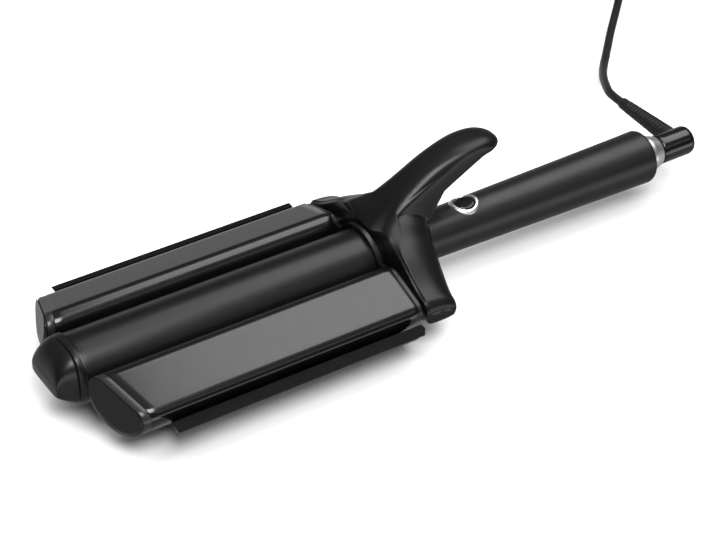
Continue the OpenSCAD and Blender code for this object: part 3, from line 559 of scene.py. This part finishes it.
def plug_body(way, at):
    """Sections along the plug's line whose half width and half height run through given values
    and whose outline goes from round at the cord to squarish at the face, with shallow grips."""
    s = np.concatenate([np.linspace(0, 12, 9), np.linspace(12.6, 36.6, 60), [37.2, 37.6, 37.85, 38.0]])
    w = np.interp(s, [0, 3, 10, 18, 28, 36.6, 37.6, 38], [3.0, 3.2, 5.0, 8.8, 11.7, 11.9, 11.6, 11.0])
    h = np.interp(s, [0, 3, 10, 22, 30, 36.6, 37.6, 38], [3.0, 3.2, 5.0, 6.4, 8.2, 8.4, 8.1, 7.5])
    power = np.interp(s, [0, 12, 24, 38], [2.0, 2.2, 3.4, 4.0])
    grip = np.where((s > 19) & (s < 33), 0.35 * np.sin((s - 19) / 14 * 5 * math.pi) ** 2, 0)
    a = np.linspace(0, 2 * math.pi, 72, endpoint=False)
    c, n = np.cos(a), np.sin(a)
    u = (w - grip)[:, None] * np.sign(c) * np.abs(c) ** (2 / power[:, None])
    v = (h - grip)[:, None] * np.sign(n) * np.abs(n) ** (2 / power[:, None])
    side = np.array([-way[1], way[0], 0.0]) / math.hypot(way[0], way[1])
    ahead = np.array([way[0], way[1], 0.0]) / math.hypot(way[0], way[1])
    rings = at + s[:, None, None] * ahead + u[..., None] * side + v[..., None] * np.array([0, 0, 1.0])
    return loft("plug_body_dressed", rings, sharp=45)


# ---------- yoke and lever ----------

# The yoke's side view on its middle, as X and height from the hinge axis: up the front (points 0 to 5),
# over the lever to its tip (6 to 10), back under it (11 to 15) and down the rear.
LEVER_LINE = np.array([
    [-17.5, -7], [-19.4, 5], [-19.3, 15], [-16, 20.5], [-9, 27.5], [0, 35], [12, 42.2], [25, 46.8],
    [36, 48.4], [45, 48], [51.5, 44.6], [49.5, 41], [42, 39.2], [33, 37.6], [24.5, 34],
    [17.5, 27], [13.5, 18.5], [10.6, 9], [9.6, 0], [8, -7], [-4, -8],
])
# What the lever's own points thin to at its edges.
LEVER_CORE = np.array([
    [-17.5, -7], [-19.4, 5], [-19.3, 15], [-16, 20.5], [-9, 27.5], [0, 35], [14, 37], [25, 41.6],
    [35, 44], [44, 44], [47, 43.4], [46, 42.8], [40, 42.4], [32, 41], [24.5, 37.6],
    [17, 29.5], [13.5, 18.5], [10.6, 9], [9.6, 0], [8, -7], [-4, -8],
])
LEVER_FIRST, LEVER_LAST = 6, 15
# Distances from the middle at which the yoke's sections lie.
YOKE_Y = [0, 3, 5.2, 7, 8.2, 9, 9.8, 10.6, 11.6, 13, 15, 17.5, 20.5, 24, 28, 32.5, 37, 41, 44, 46.4,
          48.2, 49.6, 50.6, 51.3, 51.7]


def arm_lines(d, a):
    """Side view of the yoke's arms at distances a from the middle, in as many points as the lever's:
    the top follows the half barrel's outline plus a rise that fades outward, the rear draws in, and
    from the top to the rear it runs along a rounded quarter."""
    drop = d.flat - d.edge
    reach = math.sqrt((d.r - d.edge) ** 2 - drop**2)
    corner_y = d.half_y + reach * math.cos(d.lean) + drop * math.sin(d.lean)
    corner_z = d.rise - reach * math.sin(d.lean) + drop * math.cos(d.lean)
    b = a - corner_y
    top = np.where(
        b < d.edge * math.sin(d.lean),
        d.rise + d.flat / math.cos(d.lean) - (a - d.half_y) * math.tan(d.lean),
        corner_z + np.sqrt(np.maximum(0, d.edge**2 - b * b)),
    )
    hub_y, arm_y, end_y = 12, 22, 44
    raised, shoulder, thinnest = 6.5, 3, 3
    hub_low, arm_low, end_low = -7, -5, -6.2
    hub_rear, arm_rear, draw = 8.2, 4.5, 8.0
    low = d.rise - np.sqrt(np.maximum(0, d.r**2 - (a - d.half_y) ** 2))
    zt = top + raised * (1 - ease((a - arm_y) / 24)) + shoulder * (1 - ease((a - 10) / 14))
    under = np.where(a < arm_y, mix(hub_low, arm_low, ease((a - hub_y) / 10)), np.minimum(arm_low, low))
    zb = np.minimum(zt - thinnest, np.where(a > end_y, np.minimum(low, end_low), under))
    xf = np.full_like(a, d.front_face - 0.7)
    xr = mix(hub_rear, arm_rear, ease((a - hub_y) / 10)) - draw * np.maximum(0, (a - 23) / 30) ** 1.2
    outer = ease((a - 14) / 14)
    zm, x3 = (zt + zb) / 2, mix(xf, xr, mix(0.3, 0.1, outer))
    t = math.pi / 2 * (np.arange(5, 19) - 4.5) / 13.5
    x = np.stack([xf + 1.5, xf, xf, xf + 1.8, x3], 1)
    z = np.stack([mix(zb, zt, 0.12), zm, mix(zm, zt, 0.75), zt - 0.7, zt], 1)
    xs = mix(x3[:, None], xr[:, None], np.sin(t) ** mix(0.9, 1.0, outer)[:, None])
    zs = mix(zm[:, None], zt[:, None], np.maximum(0, np.cos(t)) ** mix(0.7, 0.92, outer)[:, None])
    x = np.concatenate([x, xs, np.stack([xr - 1.5, (xf + xr) / 2], 1)], 1)
    z = np.concatenate([z, zs, np.stack([mix(zb, zt, 0.12), zb], 1)], 1)
    return np.stack([x, z], -1)


def yoke_rings(d):
    """Rings of the yoke across its width: in the middle the lever's side view, which thins
    towards its core at the lever's edges, outside it the arms, and a round at their ends."""
    hub_w, end_r, last = 12, 1.6, len(YOKE_Y) - 1
    fine = np.interp(np.arange(0, last + 0.01, 0.25), np.arange(last + 1), YOKE_Y)
    fine = np.where(fine < hub_w, fine, hub_w + (fine - hub_w) * (d.yoke_w - hub_w) / (YOKE_Y[-1] - hub_w))
    at_end = d.yoke_w - np.array([end_r, 1.3, 1.0, 0.7, 0.45, 0.25, 0.1, 0.0])
    fine = np.unique(np.concatenate([fine, at_end]))
    y = np.concatenate([-fine[:0:-1], fine])
    a = np.abs(y)
    i = np.arange(len(LEVER_LINE))
    body = arm_lines(d, a)
    near, tip_round = a / d.lever_w, 7
    thick = np.sqrt(np.maximum(0.08, 1 - np.minimum(1, near) ** 3))[:, None, None]
    tip = tip_round * (1 - np.sqrt(np.maximum(0.04, 1 - near**2.4)))
    on = (i >= LEVER_FIRST) & (i <= LEVER_LAST)
    side = np.where(on[None, :, None], mix(LEVER_CORE, LEVER_LINE, thick), LEVER_LINE)
    back = tip[:, None] * ease((side[..., 0] - 20) / 26) * on
    side = np.stack([side[..., 0] - back, side[..., 1]], -1)
    wide = np.where(i == LEVER_LAST, d.lever_w + 0.4, d.lever_w)
    reach = np.interp(i, [3, 4, 5, 16, 17, 18, 20], [18, 15, 11.5, 11.5, 12.5, 15, 18])
    keep = 1 - ease((a[:, None] - 1.5) / reach)
    out = np.where(on, 1 - ease((a[:, None] - wide + 0.6) / (2.4 + 2 * (wide - d.lever_w))), keep)
    ring = spline(mix(body, side, out[..., None]), 6, closed=True)
    s = np.clip((a - d.yoke_w + end_r) / end_r, 0, 1)
    inset = (end_r * (1 - np.sqrt(1 - s**2)))[:, None, None]
    centre = ring.mean(1, keepdims=True)
    far = np.maximum(np.linalg.norm(ring - centre, axis=2, keepdims=True), 1e-6)
    ring = ring - (ring - centre) / far * inset
    yy = np.broadcast_to(y[:, None], ring.shape[:2])
    return np.stack([ring[..., 0], yy, ring[..., 1] + d.axis_h], -1)


def make_yoke(p):
    """The yoke with its thumb lever, with ears round the pin, cut for the barrel, the hub's swing,
    the bushes and the half barrels' rear face."""
    d = dims(p)
    axis, c, top = (0, 0, d.axis_h), d.cheek_y, d.axis_h
    ear_r, ear_t, bore_r, arch_r, slot_top, hub_low, far = 7.5, 6, 3.4, 17.3, 17.6, 12.7, 60
    opening, more = math.radians(23), 0.004
    yoke = loft("yoke_and_lever", yoke_rings(d), sharp=50)
    cuts = [
        turned("barrel_cut", [[-40, arch_r], [-7.2, arch_r]], axis, "x", 128),
        block("slot_cut", (-8.2, -c, -20), (31.8, c, top + slot_top)),
        block("swing_cut", (0, -c - more, -15), (40, c + more, hub_low), opening, axis),
    ]
    ears = []
    for k, side in enumerate((1, -1)):
        ears.append(turned(f"ear_{k}", [[side * c, ear_r], [side * (c + ear_t), ear_r]], axis, "y", 64))
        bore = [[side * (c - 1), bore_r], [side * (c + 4), bore_r]]
        cuts.append(turned(f"bore_{k}", bore, axis, "y", 48))
    cuts.append(block("front_cut", (-far, -far, top - far), (d.front_face, far, top + far)))
    shaped(yoke, [("UNION", ear) for ear in ears] + [("DIFFERENCE", cut) for cut in cuts], 42)
    dress(yoke, UPPER, "matte_black", "yoke_lever")


# ---------- barrels ----------


def half_outline(d, inset, round_n=80, edge_n=22, flat_n=14):
    """D-shaped outline about its own centre: a big arc below, an edge arc tangent to it on each
    side and a flat top between them, all drawn in by an inset."""
    r, f = d.r - inset, d.edge - inset
    cy = d.flat - d.edge
    cx = math.sqrt((d.r - d.edge) ** 2 - cy**2)
    low = math.atan2(cy, cx)
    arc = np.linspace(-math.pi - low, low, round_n)
    right = np.linspace(low, math.pi / 2, edge_n)[1:]
    left = np.linspace(math.pi / 2, math.pi - low, edge_n)[:-1]
    run = np.linspace(cx, -cx, flat_n)[1:-1]
    return np.vstack([
        np.stack([r * np.cos(arc), r * np.sin(arc)], 1),
        np.stack([cx + f * np.cos(right), cy + f * np.sin(right)], 1),
        np.stack([run, np.full_like(run, cy + f)], 1),
        np.stack([-cx + f * np.cos(left), cy + f * np.sin(left)], 1),
    ])


def half_places(d, uv, x_of_y, side):
    """Outline points set at the half barrel's centre, leaned outward, with X from their Y."""
    y = d.half_y + uv[:, 0] * math.cos(d.lean) + uv[:, 1] * math.sin(d.lean)
    z = d.half_z - uv[:, 0] * math.sin(d.lean) + uv[:, 1] * math.cos(d.lean)
    return np.stack([x_of_y(y), side * y, z], 1)


def make_half_barrels(p):
    """Both half barrels as open shells, swept back at the front and square at the rear: outlines at
    shares of the length, each drawn in by an inset, along the outside and back along the inside."""
    d = dims(p)
    slope, w = math.tan(d.sweep), d.wall
    front = d.seam_x + d.collar + 0.01

    def row(share, inset, side):
        def along(y):
            return mix(front + slope * (y - d.half_y), d.half_rear, share)

        return half_places(d, half_outline(d, inset), along, side)

    lines = [(0.0, 0.2), (0.0006, 0.08), (0.002, 0.0)]
    lines += [(s, 0.0) for s in np.linspace(0.03, 0.97, 26)]
    lines += [(0.9985, 0.0), (1.0, 0.15), (1.0, w)]
    lines += [(s, w) for s in np.linspace(0.95, 0.05, 6)] + [(0.0, w)]
    for name, side in (("left", 1), ("right", -1)):
        shell = loft(f"{name}_half_barrel_shell", [row(s, k, side) for s, k in lines], loop=True)
        dress(shell, UPPER, "black_coating", f"{name}_half_barrel")


def make_front_collars(p):
    """Grey collars between the half barrels and their caps, with softened edges: outlines at
    distances from the cap's seam, each drawn in by an inset."""
    d = dims(p)
    slope = math.tan(d.sweep)

    def row(behind, inset, side):
        def along(y):
            return d.seam_x + behind + slope * (y - d.half_y)

        return half_places(d, half_outline(d, inset), along, side)

    lines = [(0.02, 1.1), (0.45, 0.95), (0.62, 0.5), (0.9, 0.18), (1.3, 0.04)]
    lines += [(d.collar - 0.25, 0.04), (d.collar - 0.1, 0.08), (d.collar, 0.2)]

    for name, side in (("left", 1), ("right", -1)):
        rings = [row(behind, inset, side) for behind, inset in lines]
        dress(loft(f"{name}_collar_band", rings), UPPER, "grey_collar", f"{name}_front_collar")


def cap_outline(d, t):
    """Outline of the cap a share t of the way to its front: drawn in all round along a dome's curve,
    and cut lower under the flat face the further forward it lies."""
    dome, shift_u, shift_v, fall = 8, 0.25, 0.32, 19.5
    inset = dome * (1 - math.sqrt(1 - t**1.25))
    uv = half_outline(d, inset) + np.array([inset * shift_u, inset * shift_v])
    limit = d.flat - fall * t
    r, f = d.r - inset, d.edge - inset
    cy = d.flat - d.edge
    cx = math.sqrt((d.r - d.edge) ** 2 - cy**2)
    v = limit - inset * shift_v
    tangent = cy * r / math.hypot(cx, cy)
    if v < tangent:
        w = math.sqrt(max(0.0, r * r - v * v))
    elif v < cy + f:
        w = cx + math.sqrt(max(0.0, f * f - (v - cy) ** 2))
    else:
        w = cx + f
    over = uv[:, 1] > limit
    uv[over, 0] = np.clip(uv[over, 0], inset * shift_u - w, inset * shift_u + w)
    uv[over, 1] = limit
    return uv


def make_end_caps(p):
    """Domed satin caps at the fronts of the half barrels, with a fine step at their seam."""
    d = dims(p)
    slope, seam_gap, seam_share = math.tan(d.sweep), 0.06, 0.975
    shares = np.concatenate([[0.0, 0.004, 0.015, 0.03, 0.05, 0.08], np.linspace(0.12, 0.74, 26)])
    scales = np.where(shares == 0, seam_share, 1.0)

    def row(t, scale, side):
        def along(y):
            return d.seam_x - seam_gap - d.cap * t + slope * (y - d.half_y)

        return half_places(d, cap_outline(d, t) * scale, along, side)

    for name, side in (("left", 1), ("right", -1)):
        rings = [row(t, scale, side) for t, scale in zip(shares, scales)]
        dress(loft(f"{name}_cap_dome", rings, sharp=64), UPPER, "satin_black", f"{name}_end_cap")


def make_middle_barrel(p):
    """The middle barrel as a turned shell with eased rims."""
    d = dims(p)
    a, b, r, w = d.barrel_front - d.sleeve, d.barrel_rear, d.r, d.wall
    outline = [[a, r - w], [a, r - 0.5], [a + 0.12, r - 0.22], [a + 0.4, r - 0.05], [a + 0.9, r]]
    outline += [[x, r] for x in np.linspace(a + 4, b - 4, 18)]
    outline += [[b - 0.35, r], [b - 0.12, r - 0.1], [b, r - 0.3], [b, r - w]]
    shell = turned("middle_barrel_shell", outline, (0, 0, d.axis_h), "x", 144, loop=True)
    dress(shell, LOWER, "black_coating", "middle_barrel", look="barrel_gloss")


def make_nose(p):
    """The nose: sections from the round barrel to a flat straight lip, whose half width,
    height above and height below each shrink by their own curve and whose outline squares
    up, with a groove a little way along and a spigot behind."""
    d = dims(p)
    seam = d.nose_seam / d.nose
    lip_w, lip_up, lip_down, groove, spigot_len = 12, 3.0, 2.5, 0.05, 11.9
    near_seam = seam + np.linspace(-0.05, 0.05, 13)  # sections closer together at the groove
    t = np.concatenate([np.linspace(0, 0.9, 46), np.linspace(0.915, 0.98, 10), near_seam])
    start = (d.sleeve - 0.02) / d.nose
    t = np.unique(np.round(np.concatenate([[start], t[t > start]]), 5))
    x = d.barrel_front - d.nose * t
    w = mix(d.r, lip_w, ease(t * 1.1) * 0.4 + t * 0.6)
    dome = np.sqrt(np.maximum(0, 1 - (t * 1.02) ** 2.2))
    up = mix(lip_up, d.r, dome**1.1)
    down = mix(lip_down, d.r, (1 - t) ** 0.75)
    power = (2 + 3 * t)[:, None]
    dip = 1 - groove * np.exp(-(((t - seam) / 0.02) ** 2))
    a = np.linspace(0, 2 * math.pi, 144, endpoint=False)
    c, s = np.cos(a), np.sin(a)
    y = (w * dip)[:, None] * np.sign(c) * np.abs(c) ** (2 / power)
    tall = np.where(s > 0, (up * dip)[:, None], (down * dip)[:, None])
    z = d.axis_h + tall * np.sign(s) * np.abs(s) ** (2 / power)
    rings = np.stack([np.broadcast_to(x[:, None], y.shape), y, z], -1)
    spigot = d.r - d.wall - 0.05
    rear = np.stack([np.full_like(a, d.barrel_front + spigot_len), spigot * c, d.axis_h + spigot * s], -1)
    root = np.stack([np.full_like(a, x[0]), spigot * c, d.axis_h + spigot * s], -1)
    end = rings[-1:].mean(1, keepdims=True)
    last = end + (rings[-1:] - end) * 0.94 + np.array([-0.12, 0, 0])
    nose = loft("nose_dressed", np.concatenate([rear[None], root[None], rings, last]), sharp=46)
    dress(nose, LOWER, "satin_black", "nose_cap")


# ---------- handle ----------


def handle_r(d, x):
    """The handle's radius at x, which runs straight from its front to its rear."""
    return mix(d.h_front, d.h_rear, (x - d.h_start) / (d.h_end - d.h_start))


def make_handle(p):
    """The handle's tapered shell with its rounded rear edge, the end plate and the ring."""
    d = dims(p)
    axis, start, end, w, rr = (0, 0, d.axis_h), d.h_start, d.h_end, d.h_wall, d.h_rear
    bore, button_bore, fit = 5.0, 7.3, 0.06
    x = np.linspace(start + 0.6, end - 2.6, 40)
    outline = np.vstack([
        [[start, d.h_front - w], [start, d.h_front - 0.5], [start + 0.15, d.h_front - 0.15]],
        np.stack([x, handle_r(d, x)], 1),
        rounded([[end - 2, rr], [end - 0.9, rr - 0.35], [end - 0.2, rr - 1.1], [end, rr - w]], 0.7, 5),
        [[end - 3, rr - w], [end - 8, handle_r(d, end - 8) - w]],
    ])
    shell = turned("handle_dressed", outline, axis, "x", 160, loop=True)
    hole = turned("button_bore", [[0, button_bore], [30, button_bore]], (d.button_x, 0, d.axis_h), "z", 96)
    shaped(shell, [("DIFFERENCE", hole)])
    dress(shell, LOWER, "handle_black", "handle_shell")

    rim = rr - w - fit
    plate = [[end - 3, bore], [end - 3, rim], [end - 0.35, rim], [end - 0.1, rr - w - 0.3], [end - 0.1, bore]]
    disc = turned("handle_end_disc", rounded(plate, 0.25, 3, closed=True), axis, "x", 128, loop=True)
    dress(disc, LOWER, "satin_black", "handle_end_plate")

    k, far = d.knob_r, d.ring_end
    ring = [[end, bore], [end, 9.0], [end + 0.5, 9.55], [end + 1.2, 9.55], [end + 3.6, 9.2]]
    ring += [[end + 8.0, k + 0.35], [end + 8.7, k + 0.05], [far, k - 0.4], [far, bore]]
    bright = turned("bright_ring_dressed", rounded(ring, 0.35, 4, closed=True), axis, "x", 144, loop=True)
    dress(bright, LOWER, "chrome", "bright_ring")


def follow_handle(d, rho, rise, n):
    """Rings about the button's middle laid on the handle: each point keeps its distance rho
    and stands rise above the handle's round surface."""
    a = np.linspace(0, 2 * math.pi, n, endpoint=False)
    x = d.button_x + rho[:, None] * np.cos(a)
    y = rho[:, None] * np.sin(a)
    z = d.axis_h + np.sqrt(np.maximum(1.0, (handle_r(d, x) + rise[:, None]) ** 2 - y * y))
    return np.stack([x, y, z], -1)


def make_button(p):
    """The round power button with a dished face, and the bright ring around it."""
    d = dims(p)
    section = [[5.25, -2.0], [5.25, 0.25], [5.65, 0.66], [6.6, 0.66], [7.28, 0.05], [7.28, -2.0]]
    o = rounded(section, 0.3, 5, closed=True)
    bezel = loft("bezel_dressed", follow_handle(d, o[:, 0], o[:, 1], 128), loop=True)
    dress(bezel, LOWER, "chrome", "button_bezel")

    n, button_r, stem_r, board_low, board_t, switch_h = 96, 4.9, 2.2, 4.6, 1.6, 5.4
    dish = [[button_r, -3.0], [button_r, 0.02], [4.35, 0.38], [3.7, 0.3], [2.2, 0.08], [0.4, 0.02]]
    o = rounded(dish, 0.35, 5)
    a = np.linspace(0, 2 * math.pi, n, endpoint=False)
    base, foot = d.axis_h + handle_r(d, d.button_x) - 4, d.axis_h - board_low + board_t + switch_h
    under = [(stem_r, foot), (stem_r, base), (button_r - 0.2, base), (button_r, base + 0.2)]
    low = [np.stack([d.button_x + r * np.cos(a), r * np.sin(a), np.full_like(a, z)], -1) for r, z in under]
    rings = np.concatenate([np.array(low), follow_handle(d, o[:, 0], o[:, 1], n)])
    dress(loft("button_dressed", rings, sharp=50), "power_button", "gloss_black", "power_button")


def make_swivel(p):
    """The cord knob, turned with a rounded end and bored for the strain relief."""
    d = dims(p)
    a, b, r, relief_bore = d.knob_x, d.knob_x + d.knob_len, d.knob_r, 4.52
    outline = np.vstack([
        [[a, r - 0.9], [a + 0.25, r - 0.35], [a + 0.7, r]],
        np.stack([np.linspace(a + 3, b - 4, 8), np.full(8, r)], 1),
        rounded([[b - 2.7, r], [b - 1.2, r - 0.5], [b - 0.3, r - 1.6], [b, r - 3]], 0.9, 6),
    ])
    knob = turned("knob_dressed", outline, (0, 0, d.axis_h), "x", 112)
    bore = turned("relief_bore", [[3, relief_bore], [23, relief_bore]], (d.relief_x, 0, d.axis_h), "y", 64)
    shaped(knob, [("DIFFERENCE", bore)])
    dress(knob, SWIVEL, "gloss_black", "swivel_knob")


def finish_frame_nodes():
    """Every CAD node that stays takes its slot's procedural finish."""
    for part in frame["record"]["subparts"]:
        obj = frame["nodes"][part["node"]]
        obj.data.materials.clear()
        obj.data.materials.append(material(part["material_slot"]))


# ---------- operators ----------


class WAVER_OT_stage(bpy.types.Operator):
    """Make the camera, the floor, the lights and the world"""

    bl_idname = "waver.stage"
    bl_label = "Stage"

    def execute(self, context):
        make_stage()
        return {"FINISHED"}


class WAVER_OT_cord(bpy.types.Operator):
    """Make the cord with its coil, strain relief, tie and plug"""

    bl_idname = "waver.cord"
    bl_label = "Cord"

    def execute(self, context):
        make_cord(context.scene.waver_sizes)
        return {"FINISHED"}


class WAVER_OT_yoke(bpy.types.Operator):
    """Make the yoke with its thumb lever"""

    bl_idname = "waver.yoke"
    bl_label = "Yoke and lever"

    def execute(self, context):
        make_yoke(context.scene.waver_sizes)
        return {"FINISHED"}


class WAVER_OT_half_barrels(bpy.types.Operator):
    """Make the two half barrels"""

    bl_idname = "waver.half_barrels"
    bl_label = "Half barrels"

    def execute(self, context):
        make_half_barrels(context.scene.waver_sizes)
        return {"FINISHED"}


class WAVER_OT_front_collars(bpy.types.Operator):
    """Make the grey collars at the half barrels' fronts"""

    bl_idname = "waver.front_collars"
    bl_label = "Front collars"

    def execute(self, context):
        make_front_collars(context.scene.waver_sizes)
        return {"FINISHED"}


class WAVER_OT_end_caps(bpy.types.Operator):
    """Make the domed end caps"""

    bl_idname = "waver.end_caps"
    bl_label = "End caps"

    def execute(self, context):
        make_end_caps(context.scene.waver_sizes)
        return {"FINISHED"}


class WAVER_OT_middle_barrel(bpy.types.Operator):
    """Make the middle barrel"""

    bl_idname = "waver.middle_barrel"
    bl_label = "Middle barrel"

    def execute(self, context):
        make_middle_barrel(context.scene.waver_sizes)
        return {"FINISHED"}


class WAVER_OT_nose(bpy.types.Operator):
    """Make the nose with its seam groove"""

    bl_idname = "waver.nose"
    bl_label = "Nose"

    def execute(self, context):
        make_nose(context.scene.waver_sizes)
        return {"FINISHED"}


class WAVER_OT_handle(bpy.types.Operator):
    """Make the handle, its end disc and the bright ring"""

    bl_idname = "waver.handle"
    bl_label = "Handle"

    def execute(self, context):
        make_handle(context.scene.waver_sizes)
        return {"FINISHED"}


class WAVER_OT_button(bpy.types.Operator):
    """Make the power button and its bezel"""

    bl_idname = "waver.button"
    bl_label = "Power button"

    def execute(self, context):
        make_button(context.scene.waver_sizes)
        return {"FINISHED"}


class WAVER_OT_swivel(bpy.types.Operator):
    """Make the cord knob"""

    bl_idname = "waver.swivel"
    bl_label = "Cord knob"

    def execute(self, context):
        make_swivel(context.scene.waver_sizes)
        return {"FINISHED"}


class WAVER_OT_frame_finishes(bpy.types.Operator):
    """Give the remaining CAD nodes their finishes"""

    bl_idname = "waver.frame_finishes"
    bl_label = "Frame finishes"

    def execute(self, context):
        finish_frame_nodes()
        return {"FINISHED"}


OPERATORS = (
    WAVER_OT_stage, WAVER_OT_cord, WAVER_OT_yoke, WAVER_OT_half_barrels, WAVER_OT_front_collars,
    WAVER_OT_end_caps, WAVER_OT_middle_barrel, WAVER_OT_nose, WAVER_OT_handle, WAVER_OT_button,
    WAVER_OT_swivel, WAVER_OT_frame_finishes,
)


class WAVER_PT_panel(bpy.types.Panel):
    """Sidebar panel with the waver's sizes and its pieces"""

    bl_idname = "WAVER_PT_panel"
    bl_label = "Hair waver"
    bl_space_type = "VIEW_3D"
    bl_region_type = "UI"
    bl_category = "Hair waver"

    def draw(self, context):
        sizes = context.scene.waver_sizes
        column = self.layout.column()
        for name in WaverSizes.__annotations__:
            column.prop(sizes, name)
        for op in OPERATORS:
            column.operator(op.bl_idname)


CLASSES = (WaverSizes, *OPERATORS, WAVER_PT_panel)


def register():
    for cls in CLASSES:
        bpy.utils.register_class(cls)
    bpy.types.Scene.waver_sizes = bpy.props.PointerProperty(type=WaverSizes)


def unregister():
    del bpy.types.Scene.waver_sizes
    for cls in reversed(CLASSES):
        bpy.utils.unregister_class(cls)


def main():
    register()
    bpy.ops.waver.stage()
    bpy.ops.waver.cord()
    bpy.ops.waver.yoke()
    bpy.ops.waver.half_barrels()
    bpy.ops.waver.front_collars()
    bpy.ops.waver.end_caps()
    bpy.ops.waver.middle_barrel()
    bpy.ops.waver.nose()
    bpy.ops.waver.handle()
    bpy.ops.waver.button()
    bpy.ops.waver.swivel()
    bpy.ops.waver.frame_finishes()


if __name__ == "__main__":
    main()
